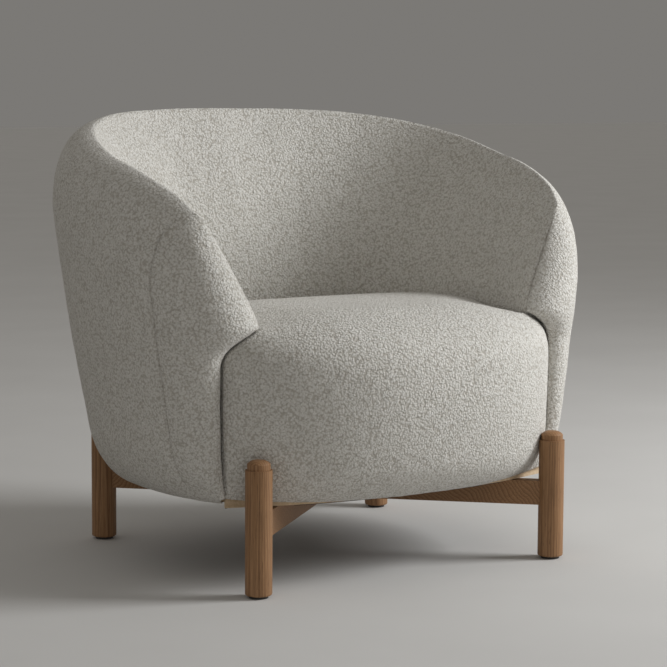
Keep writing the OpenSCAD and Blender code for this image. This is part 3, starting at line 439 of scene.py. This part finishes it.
# The edge between an inner arm and its front, in rows of the shell: where its rounding starts and ends,
# in how many rows it and the seam's dip come in, and where it goes out again
RIDGE_START, RIDGE_END, RIDGE_COME_IN, DIP_COME_IN = 1.5, 3.0, 0.15, 0.1
RIDGE_GO_OUT = (0.02, 0.35)
RIDGE_REACH, RIDGE_SPREAD = 0.050, 0.016
RIDGE_SAMPLES, RIDGE_STEP = 300, 0.01
RIDGE_T, RIDGE_Q = (0.07, 0.93), (0.05, 0.965)     # the part of an arm front in which its way out is read
RIM_SEAM_FADE, RIM_SEAM_BACK = 0.75, (2.08, 2.3)   # the dip's loss over the rim, and where it comes back
NEAREST_AT_ONCE, RIDGE_PARTS = 3000, 24            # the work goes in parts, to spare memory


def seam_dip(distance):
    """How far a seam draws the skin in, at a distance from it."""
    return -SEAM_DEPTH * np.exp(-(distance / SEAM_WIDTH) ** 2)


def puckers(grid, distance):
    """Small gathers beside a seam."""
    return PUCKER_LIFT * noise_at(grid, PUCKER_SCALE, PUCKER_SHIFT) * np.exp(-distance / PUCKER_REACH)


def uneven(grid):
    """The slight unevenness of foam and wadding under the cover."""
    foam = FOAM_LIFT * noise_at(grid, FOAM_SCALE, FOAM_SHIFT)
    return foam + FIBRE_LIFT * noise_at(grid, FIBRE_SCALE, FIBRE_SHIFT)


def ridge(side):
    """The seam between an inner arm and its front: its points, the way out there, and the shell's row
    at each."""
    w, e = np.linspace(RIDGE_START, RIDGE_END, RIDGE_SAMPLES), RIDGE_STEP
    past = w > 2 + SEAM_TOP
    q = np.where(past, NOSE_TIP + (3 - w) / (1 - SEAM_TOP) * (1 - NOSE_TIP), 1.0)
    t = np.clip((w - 1 - NOSE_TOP) / (1 + SEAM_TOP - NOSE_TOP), 0, 1)
    t, q = np.clip(np.where(past, RIDGE_T[1], t), *RIDGE_T), np.clip(q, *RIDGE_Q)
    inner = unit(np.cross(shell_point(1 - 3 * e, w) - shell_point(1 - e, w),
                          shell_point(1 - 2 * e, w + e) - shell_point(1 - 2 * e, w - e)))
    front = unit(np.cross(nose_point(t - e, q) - nose_point(t + e, q),
                          nose_point(t, q + e) - nose_point(t, q - e)))
    mirror = np.array([side, 1, 1])
    return shell_point(1.0, w) * mirror, unit(inner + front) * mirror, w


def areas(grid):
    """The area of skin that each point of a grid stands for."""
    across, up = np.gradient(grid, axis=1), np.gradient(grid, axis=0)
    return np.linalg.norm(np.cross(across, up), axis=-1)


def nearest(points, targets):
    """For each point, the nearest target and how far off it is."""
    found = [np.linalg.norm(part[:, None] - targets[None], axis=-1)
             for part in np.array_split(points, max(len(points) // NEAREST_AT_ONCE, 1))]
    return np.concatenate([f.argmin(1) for f in found]), np.concatenate([f.min(1) for f in found])


def round_ridge(grids, side):
    """Rounds an arm off across the seam that joins its grids, and draws the seam in. Each point near
    the seam moves to the mean of the skin round it, on both sides of the seam alike."""
    seam, away, w = ridge(side)
    flat = np.concatenate([g.reshape(-1, 3) for g in grids])
    area = np.concatenate([areas(g).ravel() for g in grids])
    low, high = seam.min(0) - 2 * RIDGE_REACH, seam.max(0) + 2 * RIDGE_REACH
    local = np.where(((flat > low) & (flat < high)).all(1))[0]
    near, gap = nearest(flat[local], seam)
    local, near, gap = (v[gap < RIDGE_REACH + 2 * RIDGE_SPREAD] for v in (local, near, gap))
    source, weight = flat[local], area[local]
    come_in = share(w[near], RIDGE_START, RIDGE_START + RIDGE_COME_IN)
    ends = come_in * share(RIDGE_END - w[near], *RIDGE_GO_OUT)
    fade = ends * np.clip(1 - (gap / RIDGE_REACH) ** 2, 0, 1) ** 2
    moved = source.copy()
    for part in np.array_split(np.where(fade > 0)[0], RIDGE_PARTS):
        far = ((source[part][:, None] - source[None]) ** 2).sum(-1)
        pull = np.exp(-far / RIDGE_SPREAD ** 2) * weight
        mean = pull @ source / pull.sum(1, keepdims=True)
        moved[part] = mix(source[part], mean, fade[part][:, None])
    over_rim = come_in * (1 - share(w[near], *RIM_SEAM_BACK))
    dip_in = share(w[near], RIDGE_START, RIDGE_START + DIP_COME_IN)
    depth = SEAM_DEPTH * (1 - RIM_SEAM_FADE * over_rim) * dip_in
    flat[local] = moved - away[near] * (depth * np.exp(-(gap / SEAM_WIDTH) ** 2))[:, None]
    starts = np.cumsum([0] + [g.shape[0] * g.shape[1] for g in grids])
    return [flat[a:b].reshape(g.shape) for g, a, b in zip(grids, starts, starts[1:])]


# The shell and the arm fronts. The numbers of columns and rows of their grids
SHELL_COLUMNS, SHELL_ROWS, SHELL_TUCK_ROWS = 330, (76, 34, 60), 12
FRONT_COLUMNS, FRONT_ROWS = 46, 130
FRONT_SEAM_LINES = (0.006, 0.018, 0.04)
FRONT_DEPTH = 0.004         # how far behind its seams an arm front's body closes
SEAM_BLEND = 0.05           # the share or rows in which a seam's dip comes in or goes out

# Soft upright waves in the inner back: the place, height and width of each, and the rows between which
# they come in and go out
BACK_WAVES = ((-0.30, 0.0030, 0.045), (-0.17, -0.0030, 0.05), (-0.02, 0.0028, 0.05),
              (0.16, -0.0022, 0.06), (0.42, 0.0018, 0.07), (-0.48, -0.0020, 0.06))
WAVES_IN, WAVES_OUT = (2.05, 2.35), (2.75, 3.0)


def shell_skin():
    """The skin of the outer back, rim and inner back, from arm to arm."""
    us = with_edges(even(lambda u: shell_point(u, 2.0), -1, 1, SHELL_COLUMNS))
    ws = np.concatenate([band_rows(lambda w: shell_point(0.5, w), SHELL_ROWS),
                         np.linspace(3, 4, SHELL_TUCK_ROWS)[1:]])
    grid = shell_point(us[None, :], ws[:, None])
    n = grid_normals(grid, -1)
    lift = swell("shell_cloth", shell_point, us, ws, SHELL_CLOTH, -1)
    from_start, from_end = arc_distance(grid, 1)
    edge = np.minimum(from_start, from_end)
    u, w = np.broadcast_arrays(us[None, :], ws[:, None])
    inside = share(w, *WAVES_IN) * (1 - share(w, *WAVES_OUT))
    for place, height, width in BACK_WAVES:
        lift = lift + inside * height * np.exp(-((u - place) / width) ** 2)
    lift = lift + uneven(grid) + puckers(grid, edge)
    below_ridge = 1 - share(w, RIDGE_START - SEAM_BLEND, RIDGE_START + SEAM_BLEND)
    side_dip = seam_dip(edge) * share(w, 0, SEAM_BLEND) * below_ridge
    return grid + n * (lift * share(edge, 0, SEAM_FADE) + side_dip)[..., None]


def arm_front_skin(side, qs, ts, swollen):
    """The front of the right arm, with side 1, or of the left, with side -1."""
    grid = nose_point(ts[None, :], qs[:, None])
    n = grid_normals(grid, -1) * np.array([side, 1, 1])
    from_side, from_seat = arc_distance(grid, 1)
    edge = np.minimum(np.minimum(from_side, from_seat), arc_distance(grid, 0)[1])
    grid = grid * np.array([side, 1, 1])
    lift = swollen + uneven(grid) + puckers(grid, edge)
    below_tip = (1 - share(qs, NOSE_TIP - SEAM_BLEND, NOSE_TIP))[:, None]
    dips = seam_dip(from_side) + seam_dip(from_seat) * below_tip
    return grid + n * (lift * share(edge, 0, SEAM_FADE) + dips)[..., None]


def arm_front_form(name, grid, ts):
    """A closed body behind an arm front's skin."""
    back = mix(grid[:, :1], grid[:, -1:], ts[None, :, None]) + np.array([0.0, FRONT_DEPTH, 0.0])
    return slab_body(name, grid, back)


def body_forms():
    """The shell and the two arm fronts, rounded off together where they meet."""
    qs = with_edges(even(lambda q: nose_point(0.5, q), 0, 1, FRONT_ROWS))
    ts = with_edges(np.linspace(0, 1, FRONT_COLUMNS), FRONT_SEAM_LINES)
    swollen = swell("arm_front_cloth", nose_point, ts, qs, ARM_CLOTH, -1)
    shell = shell_skin()
    shell, right = round_ridge([shell, arm_front_skin(1, qs, ts, swollen)], 1)
    shell, left = round_ridge([shell, arm_front_skin(-1, qs, ts, swollen)], -1)
    return (loop_body("shell_upholstery", close_under(shell)),
            arm_front_form("arm_front_upholstery_left", left, ts),
            arm_front_form("arm_front_upholstery_right", right, ts))


# The seat. The numbers of columns and rows of its grid
SEAT_COLUMNS, SEAT_ROWS = 190, (60, 46, 110)
SEAT_SEAM_LINES = (0.001, 0.003, 0.007)

# How much of the gap to the arms the seat's sides close, how steeply that grows towards them, the gap
# left under the shell's edge, and the row at which the seat is no longer drawn forward
PRESS_SHARE, PRESS_POWER, PRESS_GAP, PRESS_END = 0.85, 12, 0.001, 2.15

# How the seat rolls on below the arms: how far out and how far in, at each further column, and for each
# side its edge column and the column further in that gives the way out
ROLL_OUT = (0.006, 0.012, 0.017, 0.020)
ROLL_IN = (0.0012, 0.0055, 0.0130, 0.0230)
ROLL_COLUMNS = ((0, 6), (-1, -12))


def seat_press(s, r):
    """How far the seat's sides rise and come forward to the arms that press on them."""
    s, r = np.broadcast_arrays(s, r)
    k = np.clip(r / TIP_ROW, 0, 1) ** (1 / TIP_POWER)
    gap = nose_edge(k * NOSE_TIP) - seat_point(1.0, np.minimum(r, TIP_ROW))
    below_wall = np.maximum(TUCK_Z - PRESS_GAP - seat_point(1.0, r)[..., 2], 0)
    rise = PRESS_SHARE * np.where(r <= TIP_ROW, gap[..., 2], below_wall) * np.abs(s) ** PRESS_POWER
    reach = PRESS_SHARE * gap[..., 1] * (1 - share(r, TIP_ROW, PRESS_END)) * np.abs(s) ** PRESS_POWER
    return np.stack([0 * rise, reach, rise], -1)


def roll_on(grid, n):
    """Adds columns at both sides, where the seat's cover carries on under the arms."""
    sides = []
    for edge, inner in ROLL_COLUMNS:
        away = unit(grid[:, edge] - grid[:, inner])
        sides.append([grid[:, edge] + away * a - n[:, edge] * b for a, b in zip(ROLL_OUT, ROLL_IN)])
    left, right = sides
    return np.concatenate([np.stack(left[::-1], 1), grid, np.stack(right, 1)], 1)


def seat_form():
    """The seat's cover over its foam, crowned, with its front and its edges rolled under."""
    ss = with_edges(np.linspace(-1, 1, SEAT_COLUMNS), SEAT_SEAM_LINES)
    rs = band_rows(lambda r: seat_point(0.0, r), SEAT_ROWS)
    grid = seat_point(ss[None, :], rs[:, None]) + seat_press(ss[None, :], rs[:, None])
    n = grid_normals(grid)
    lift = swell("seat_cloth", seat_point, ss, rs, SEAT_CLOTH)
    from_left, from_right = arc_distance(grid, 1)
    edge = np.minimum(from_left, from_right)
    lift = lift + uneven(grid) + puckers(grid, edge)
    grid = grid + n * (lift * share(edge, 0, SEAM_FADE) + seam_dip(edge))[..., None]
    return loop_body("seat_upholstery", close_under(roll_on(grid, n)))


# Under the seat. FLAT_ERROR is how far off a level a node's points may lie, and points within
# INNER_SHARE of its half depth belong to its opening
FLAT_ERROR, INNER_SHARE = 0.0002, 0.5
BOLT_HOLE_RADIUS, BOLT_HOLE_POINTS, PUNCH_REACH = 0.0045, 24, 0.01
SHEET_RINGS, SHEET_MIDDLE, SHEET_THICKNESS_SHARE = 42, 0.02, 0.98
SHEET_SAG, SAG_SCALE, SAG_SHIFT, SAG_POWER = 0.0009, 7.0, 1.0, 6


def outline_of(name, level):
    """The outer outline of a flat node at a level, as points in order round its middle."""
    node = frame["nodes"][name]
    points = np.array([node.matrix_world @ v.co for v in node.data.vertices])
    points = points[np.abs(points[:, 2] - level) < FLAT_ERROR][:, :2]
    middle = (points.min(0) + points.max(0)) / 2
    points = points[np.linalg.norm(points - middle, axis=1) > INNER_SHARE * np.ptp(points[:, 1]) / 2]
    order = np.argsort(np.arctan2(points[:, 1] - middle[1], points[:, 0] - middle[0]))
    return points[order], middle


def bolt_places():
    """Where the four bolts stand, from their node's loose parts."""
    node = frame["nodes"]["base_bolts"]
    points = np.array([node.matrix_world @ v.co for v in node.data.vertices])[:, :2]
    middle = (points.min(0) + points.max(0)) / 2
    return [points[((points - middle) * np.array(side) > 0).all(1)].mean(0)
            for side in ((1, 1), (1, -1), (-1, 1), (-1, -1))]


def punch_hole(sheet, name, place, low, high):
    """Cuts a round hole through a sheet."""
    angle = np.linspace(0, 2 * np.pi, BOLT_HOLE_POINTS, endpoint=False)
    ring = np.stack([place[0] + BOLT_HOLE_RADIUS * np.cos(angle),
                     place[1] + BOLT_HOLE_RADIUS * np.sin(angle)], -1)
    rows = [np.concatenate([ring, np.full((BOLT_HOLE_POINTS, 1), z)], -1)
            for z in (low - PUNCH_REACH, high + PUNCH_REACH)]
    punch = ring_body(name, np.stack(rows))
    cutter = sheet.modifiers.new("hole", "BOOLEAN")
    cutter.object = punch
    with bpy.context.temp_override(object=sheet, active_object=sheet):
        bpy.ops.object.modifier_apply(modifier=cutter.name)
    bpy.data.objects.remove(punch)


def dust_cover_form():
    """The dust cloth, which sags a little between its staples, and its flat size."""
    low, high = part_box("dust_cover")
    outline, middle = outline_of("dust_cover", low.z)
    shares = np.linspace(SHEET_MIDDLE, 1, SHEET_RINGS)[:, None, None]
    flat = middle + (outline[None] - middle) * shares
    ground = np.concatenate([flat, np.full(flat.shape[:2] + (1,), low.z)], -1)
    drape = np.abs(noise_at(ground, SAG_SCALE, SAG_SHIFT))
    sag = SHEET_SAG * drape * (1 - shares[..., 0] ** SAG_POWER)
    under = ground - np.stack([0 * sag, 0 * sag, sag], -1)
    over = under + np.array([0, 0, (high.z - low.z) * SHEET_THICKNESS_SHARE])
    sheet = ring_body("dust_sheet", np.concatenate([under, over[::-1]]))
    for k, place in enumerate(bolt_places()):
        punch_hole(sheet, "punch_%d" % k, place, low.z, high.z)
    return sheet, np.ptp(outline, axis=0)


# Materials
class Tree:
    """A small helper to build a material's nodes. A value may be a number, a colour or a socket."""

    def __init__(self, name):
        self.material = bpy.data.materials.new(name)
        self.material.use_nodes = True
        self.nodes = self.material.node_tree.nodes
        self.links = self.material.node_tree.links
        self.shader = self.nodes["Principled BSDF"]

    def add(self, kind, **settings):
        node = self.nodes.new(kind)
        for key, value in settings.items():
            setattr(node, key, value)
        return node

    def set(self, node, socket, value):
        if isinstance(value, bpy.types.NodeSocket):
            self.links.new(value, node.inputs[socket])
        else:
            node.inputs[socket].default_value = value

    def math(self, operation, a, b=0.0):
        node = self.add("ShaderNodeMath", operation=operation)
        self.set(node, 0, a)
        self.set(node, 1, b)
        return node.outputs[0]

    def vector(self, operation, a, b):
        node = self.add("ShaderNodeVectorMath", operation=operation)
        self.set(node, 0, a)
        self.set(node, 1, b)
        return node.outputs[0]

    def place(self, rotation=(0, 0, 0), location=(0, 0, 0)):
        """The object's own coordinates, turned and then moved."""
        coords = self.add("ShaderNodeTexCoord").outputs["Object"]
        node = self.add("ShaderNodeMapping")
        self.set(node, "Vector", coords)
        self.set(node, "Rotation", rotation)
        self.set(node, "Location", location)
        return node.outputs[0]

    def noise(self, vector, scale, detail=2.0, rough=0.5, out="Fac"):
        node = self.add("ShaderNodeTexNoise")
        self.set(node, "Vector", vector)
        self.set(node, "Scale", scale)
        self.set(node, "Detail", detail)
        self.set(node, "Roughness", rough)
        return node.outputs[out]

    def cells(self, vector, scale):
        node = self.add("ShaderNodeTexVoronoi", feature="F1")
        self.set(node, "Vector", vector)
        self.set(node, "Scale", scale)
        return node.outputs["Distance"]

    def ramp(self, value, stops):
        node = self.add("ShaderNodeValToRGB")
        self.set(node, 0, value)
        ramp = node.color_ramp
        while len(ramp.elements) < len(stops):
            ramp.elements.new(0.5)
        for element, (position, colour) in zip(ramp.elements, stops):
            element.position = position
            element.color = (*colour, 1.0)
        return node.outputs[0]

    def blend(self, fac, a, b, mode="MIX"):
        node = self.add("ShaderNodeMix", data_type="RGBA", blend_type=mode)
        self.set(node, 0, fac)
        self.set(node, 6, a if isinstance(a, bpy.types.NodeSocket) else (*a, 1.0))
        self.set(node, 7, b if isinstance(b, bpy.types.NodeSocket) else (*b, 1.0))
        return node.outputs[2]

    def bump(self, height, distance, strength):
        node = self.add("ShaderNodeBump")
        self.set(node, "Height", height)
        self.set(node, "Distance", distance)
        self.set(node, "Strength", strength)
        return node.outputs[0]

    def finish(self, colour, roughness, normal=None, **sockets):
        self.set(self.shader, "Base Color", colour)
        self.set(self.shader, "Roughness", roughness)
        if normal is not None:
            self.set(self.shader, "Normal", normal)
        for name, value in sockets.items():
            self.set(self.shader, name.replace("_", " "), value)
        return self.material


# Looped yarn: the size of a nub and its relief, its fabric's patches, and the share that large nubs,
# small nubs and curls have in its height
NUB, NUB_RELIEF, PATCH_SCALE = 0.0039, 0.0034, 38.0
BIG_SHARE, SMALL_SHARE, CURL_SHARE = 0.62, 0.30, 0.35
# The yarn's colour, with painted shade for the hollows between nubs and painted light for their tips
BOUCLE_PAINTED_HOLLOW_SHADE, BOUCLE_YARN, BOUCLE_PAINTED_TIP_LIGHT = (0.52, 0.49, 0.44), (0.72, 0.70, 0.655), (0.80, 0.785, 0.75)
PATCH_DARK, WHITE = (0.95, 0.95, 0.945), (1.0, 1.0, 1.0)


def boucle():
    """Round nubs of uneven size, with painted shade in the gaps between them and painted light on their
    tips.
    """
    tree = Tree("boucle")
    here = tree.place()
    wander = tree.vector("SUBTRACT", tree.noise(here, 1 / (2.2 * NUB), 1.0, out="Color"), (0.5, 0.5, 0.5))
    moved = tree.vector("ADD", here, tree.vector("MULTIPLY", wander, (1.3 * NUB,) * 3))
    big = tree.math("SUBTRACT", 1.0, tree.cells(moved, 1 / NUB))
    small = tree.math("SUBTRACT", 1.0, tree.cells(moved, 2.1 / NUB))
    curl = tree.noise(moved, 2.6 / NUB, 2.0, 0.6)
    big, small = tree.math("MULTIPLY", big, BIG_SHARE), tree.math("MULTIPLY", small, SMALL_SHARE)
    height = tree.math("ADD", tree.math("ADD", big, small), tree.math("MULTIPLY", curl, CURL_SHARE))
    # Painted shade and light: the colour darkens into the hollows and lightens on the nub tips, by height
    painted_depth_shade = tree.ramp(height, ((0.46, BOUCLE_PAINTED_HOLLOW_SHADE), (0.64, BOUCLE_YARN), (0.86, BOUCLE_PAINTED_TIP_LIGHT)))
    patch = tree.noise(here, PATCH_SCALE, 3.0)
    shade = tree.ramp(patch, ((0.35, PATCH_DARK), (0.65, WHITE)))
    colour = tree.blend(1.0, painted_depth_shade, shade, "MULTIPLY")
    normal = tree.bump(height, NUB_RELIEF, 1.0)
    return tree.finish(colour, 0.95, normal,
                       Sheen_Weight=0.12, Sheen_Roughness=0.6, Specular_IOR_Level=0.12)


# Oak: year rings to the metre and their sway, the scales of its fibre, its pores and its broad tones, how
# much the fibre, pores and sway are drawn out along the grain, and the relief of its surface
OAK_RINGS, OAK_SWAY, OAK_RELIEF = 210.0, 5.0, 0.0003
SWAY_SCALE, GRAIN_SCALE, PORE_SCALE, BROAD_SCALE = 22.0, 620.0, 1100.0, 11.0
SWAY_DRAW, GRAIN_DRAW, PORE_DRAW = (1.0, 1.0, 0.07), (1.0, 1.0, 0.035), (1.0, 1.0, 0.05)
OAK_DARK, OAK_MID, OAK_PALE = (0.250, 0.125, 0.055), (0.350, 0.188, 0.086), (0.400, 0.225, 0.110)
GRAIN_DARK, PORE_DARK, BROAD_DARK = (0.72, 0.70, 0.68), (0.55, 0.52, 0.50), (0.88, 0.88, 0.88)


def oak(name, rotation=(0, 0, 0), centre=(0.0, 0.0, 0.0)):
    """Oak with its grain along the local Z of the turned coordinates, cut off the heart of the tree."""
    tree = Tree(name)
    here = tree.place(rotation=rotation, location=centre)
    sway = tree.noise(tree.vector("MULTIPLY", here, SWAY_DRAW), SWAY_SCALE, 2.0)
    radius = tree.add("ShaderNodeVectorMath", operation="LENGTH")
    tree.set(radius, 0, tree.vector("MULTIPLY", here, (1.0, 1.0, 0.0)))
    rings = tree.math("MULTIPLY", radius.outputs["Value"], OAK_RINGS)
    ring = tree.math("FRACT", tree.math("ADD", rings, tree.math("MULTIPLY", sway, OAK_SWAY)))
    fibre = tree.noise(tree.vector("MULTIPLY", here, GRAIN_DRAW), GRAIN_SCALE, 2.0, 0.6)
    pores = tree.noise(tree.vector("MULTIPLY", here, PORE_DRAW), PORE_SCALE, 1.0)
    tone = tree.ramp(ring, ((0.0, OAK_DARK), (0.35, OAK_MID), (0.85, OAK_PALE), (1.0, OAK_DARK)))
    dark = tree.ramp(fibre, ((0.30, GRAIN_DARK), (0.60, WHITE)))
    tone = tree.blend(1.0, tone, dark, "MULTIPLY")
    pit = tree.ramp(pores, ((0.28, PORE_DARK), (0.36, WHITE)))
    tone = tree.blend(0.8, tone, pit, "MULTIPLY")
    broad = tree.ramp(tree.noise(here, BROAD_SCALE, 1.0), ((0.3, BROAD_DARK), (0.7, WHITE)))
    tone = tree.blend(1.0, tone, broad, "MULTIPLY")
    height = tree.math("ADD", tree.math("MULTIPLY", fibre, 0.5), tree.math("MULTIPLY", pores, 0.5))
    return tree.finish(tone, 0.55, tree.bump(height, OAK_RELIEF, 0.6), Specular_IOR_Level=0.35)


# The hidden parts' materials: the scale of each one's pattern, its relief, and its darkest and palest tone
PLAIN_GRAIN_DRAW, PLAIN_GRAIN_SCALE, PLAIN_RELIEF = (1.0, 0.08, 1.0), 160.0, 0.0002
BEECH = (0.52, 0.36, 0.22), (0.68, 0.50, 0.33)
PLYWOOD = (0.50, 0.36, 0.22), (0.70, 0.54, 0.36)
HARDBOARD = (0.22, 0.14, 0.08), (0.32, 0.22, 0.14)
WEAVE_RELIEF = 0.0003
WEBBING, WEBBING_SCALE = ((0.05, 0.045, 0.04), (0.09, 0.08, 0.07)), 700
DUST_CLOTH, DUST_CLOTH_SCALE = ((0.012, 0.012, 0.013), (0.022, 0.022, 0.024)), 900
ZINC, ZINC_SCALE = ((0.55, 0.56, 0.57), (0.68, 0.69, 0.70)), 260.0
NYLON, NYLON_SCALE, NYLON_RELIEF = ((0.020, 0.018, 0.016), (0.035, 0.032, 0.030)), 900.0, 0.0001


def plain_wood(name, dark, pale):
    tree = Tree(name)
    grain = tree.noise(tree.vector("MULTIPLY", tree.place(), PLAIN_GRAIN_DRAW), PLAIN_GRAIN_SCALE, 3.0)
    colour = tree.ramp(grain, ((0.3, dark), (0.7, pale)))
    return tree.finish(colour, 0.7, tree.bump(grain, PLAIN_RELIEF, 0.4))


def cloth(name, dark, pale, scale):
    tree = Tree(name)
    weave = tree.noise(tree.place(), scale, 2.0)
    colour = tree.ramp(weave, ((0.35, dark), (0.65, pale)))
    return tree.finish(colour, 0.9, tree.bump(weave, WEAVE_RELIEF, 0.6))


def metal(name, dark, pale):
    tree = Tree(name)
    blotch = tree.noise(tree.place(), ZINC_SCALE, 2.0)
    colour = tree.ramp(blotch, ((0.3, dark), (0.7, pale)))
    rough = tree.math("ADD", tree.math("MULTIPLY", blotch, 0.2), 0.25)
    return tree.finish(colour, rough, None, Metallic=1.0)


def nylon(name, dark, pale):
    tree = Tree(name)
    speck = tree.noise(tree.place(), NYLON_SCALE, 2.0)
    colour = tree.ramp(speck, ((0.3, dark), (0.7, pale)))
    return tree.finish(colour, 0.55, tree.bump(speck, NYLON_RELIEF, 0.5))


# Putting it together. Where the heart of the tree lies beside a leg's middle, how far it shifts from one
# leg to the next, half of the legs' spacing, which the crossed rails follow, and their hearts
LEG_HEART, LEG_HEART_SHIFT = (0.030, 0.045), (0.006, -0.008, 0.013)
LEG_SPACING = (0.281, 0.26216)
RAIL_HEART_LEFT, RAIL_HEART_RIGHT = (0.03, 0.02, 0), (0.03, 0.03, 0)
QUARTER_TURN = math.pi / 2


def dress(piece, material, slot, *nodes):
    """Gives a piece its material and lets it stand for the nodes that it covers."""
    piece.data.materials.clear()
    piece.data.materials.append(material)
    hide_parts(*nodes)
    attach(piece, "root")
    return piece


def upholster():
    fabric = boucle()
    shell, left, right = body_forms()
    dress(shell, fabric, "boucle", "back_cover", "back_padding")
    dress(left, fabric, "boucle", "arm_front_cover_left", "arm_front_foam_left")
    dress(right, fabric, "boucle", "arm_front_cover_right", "arm_front_foam_right")
    seat = dress(seat_form(), fabric, "boucle", "seat_cover", "seat_foam", "seat_front_foam")
    sheet, flat = dust_cover_form()
    dress(sheet, cloth("dust_cloth", *DUST_CLOTH, DUST_CLOTH_SCALE), "dust_cloth", "dust_cover")


def paint(names, material):
    """Gives CAD nodes a material of their own."""
    for name in names:
        node = frame["nodes"][name]
        node.data.materials.clear()
        node.data.materials.append(material)


def finish_frame():
    """The materials of the nodes that stay, and of the dust cover's node."""
    nodes = frame["nodes"]
    for k, name in enumerate(sorted(n for n in nodes if n.startswith("leg_") and n != "leg_glides")):
        low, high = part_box(name)
        centre = (low + high) / 2
        shift_x, shift_y, shift_z = (shift * k for shift in LEG_HEART_SHIFT)
        heart = (-centre.x + LEG_HEART[0] + shift_x, -centre.y + LEG_HEART[1] + shift_y, shift_z)
        paint([name], oak("oak_" + name, centre=heart))
    turn = math.atan2(LEG_SPACING[1], LEG_SPACING[0])
    for side, slant, heart in (("left", -turn, RAIL_HEART_LEFT), ("right", turn, RAIL_HEART_RIGHT)):
        along = (QUARTER_TURN, 0, QUARTER_TURN + slant)
        paint(["cross_rail_" + side], oak("oak_rail_" + side, rotation=along, centre=heart))
    beech, ply, board = (plain_wood(name, *tones) for name, tones in (
        ("beech", BEECH), ("plywood", PLYWOOD), ("hardboard", HARDBOARD)))
    paint([n for n in nodes if n.startswith(("seat_rail", "seat_corner", "rail_dowels"))], beech)
    paint([n for n in nodes if n.startswith(("rib_", "arm_post", "base_board", "top_rail"))], ply)
    paint(["back_lining"], board)
    webbing = cloth("webbing", *WEBBING, WEBBING_SCALE)
    paint([n for n in nodes if n.startswith("seat_webbing")], webbing)
    paint(["dust_cover"], bpy.data.materials["dust_cloth"])
    paint(["base_bolts", "base_washers", "base_tee_nuts"], metal("zinc", *ZINC))
    paint(["leg_glides"], nylon("nylon", *NYLON))


# The studio: one window light from the right and a little in front, even light from all round, and a
# plain floor
WINDOW_PLACE, WINDOW_TARGET = (2.75, -1.7, 1.95), (0.0, 0.0, 0.45)
WINDOW_SIZE, WINDOW_POWER, WINDOW_COLOUR = (1.3, 1.5), 113, (0.975, 0.99, 1.0)
FLOOR_HALF, FLOOR_SCALE = 28.0, 3.0
FLOOR_DARK, FLOOR_PALE = (0.590, 0.580, 0.565), (0.615, 0.605, 0.590)
WORLD_COLOUR, WORLD_STRENGTH = (0.93, 0.90, 0.85), 0.335
BACKDROP_COLOUR = (0.198, 0.191, 0.180)

# The photograph's viewpoint, fitted to its four legs: degrees round from the front, up and of roll, and
# the camera's place beside, before and above the middle of the shell's plan
VIEW_ROUND, VIEW_UP, VIEW_ROLL = -32.4265, 6.5180, 0.3132
VIEW_X, VIEW_Y, VIEW_Z = -1.9986, -3.17664, 0.79332
SENSOR_WIDTH, FOCAL_LENGTH = 36, 121.63       # millimetres
CLIP_START, CLIP_END = 0.05, 60


def window():
    data = bpy.data.lights.new("window", "AREA")
    data.shape = "RECTANGLE"
    data.size, data.size_y = WINDOW_SIZE
    data.energy = WINDOW_POWER
    data.color = WINDOW_COLOUR
    lamp = bpy.data.objects.new("window", data)
    lamp.location = WINDOW_PLACE
    way = Vector(WINDOW_TARGET) - Vector(WINDOW_PLACE)
    lamp.rotation_euler = way.to_track_quat("-Z", "Y").to_euler()
    bpy.context.scene.collection.objects.link(lamp)


def studio_world():
    """Even light from all round; where the camera looks past the floor it sees the floor's own tone."""
    world = bpy.data.worlds.new("studio")
    world.use_nodes = True
    nodes, links = world.node_tree.nodes, world.node_tree.links
    light = nodes["Background"]
    light.inputs["Color"].default_value = (*WORLD_COLOUR, 1)
    light.inputs["Strength"].default_value = WORLD_STRENGTH
    seen = nodes.new("ShaderNodeBackground")
    seen.inputs["Color"].default_value = (*BACKDROP_COLOUR, 1)
    path, choice = nodes.new("ShaderNodeLightPath"), nodes.new("ShaderNodeMixShader")
    links.new(path.outputs["Is Camera Ray"], choice.inputs[0])
    links.new(light.outputs[0], choice.inputs[1])
    links.new(seen.outputs[0], choice.inputs[2])
    links.new(choice.outputs[0], nodes["World Output"].inputs["Surface"])
    bpy.context.scene.world = world


def studio():
    corners = [(x * FLOOR_HALF, y * FLOOR_HALF, 0) for x, y in ((-1, -1), (1, -1), (1, 1), (-1, 1))]
    floor = make_mesh("floor", corners, [(0, 1, 2, 3)], closed=False)
    tree = Tree("studio_floor")
    mottle = tree.noise(tree.place(), FLOOR_SCALE, 3.0)
    tone = tree.ramp(mottle, ((0.3, FLOOR_DARK), (0.7, FLOOR_PALE)))
    floor.data.materials.append(tree.finish(tone, 0.8))
    studio_world()
    window()


def camera():
    data = bpy.data.cameras.new("camera")
    data.sensor_width = SENSOR_WIDTH
    data.lens = FOCAL_LENGTH
    data.clip_start, data.clip_end = CLIP_START, CLIP_END
    cam = bpy.data.objects.new("camera", data)
    level = Matrix.Rotation(math.radians(VIEW_ROUND), 4, "Z")
    tilt = Matrix.Rotation(QUARTER_TURN - math.radians(VIEW_UP), 4, "X")
    roll = Matrix.Rotation(math.radians(VIEW_ROLL), 4, "Z")
    place = Matrix.Translation((VIEW_X, VIEW_Y + CENTRE_Y, VIEW_Z))
    cam.matrix_world = place @ level @ tilt @ roll
    bpy.context.scene.collection.objects.link(cam)
    bpy.context.scene.camera = cam


bpy.context.scene.view_settings.view_transform = "Standard"
camera()
upholster()
finish_frame()
studio()
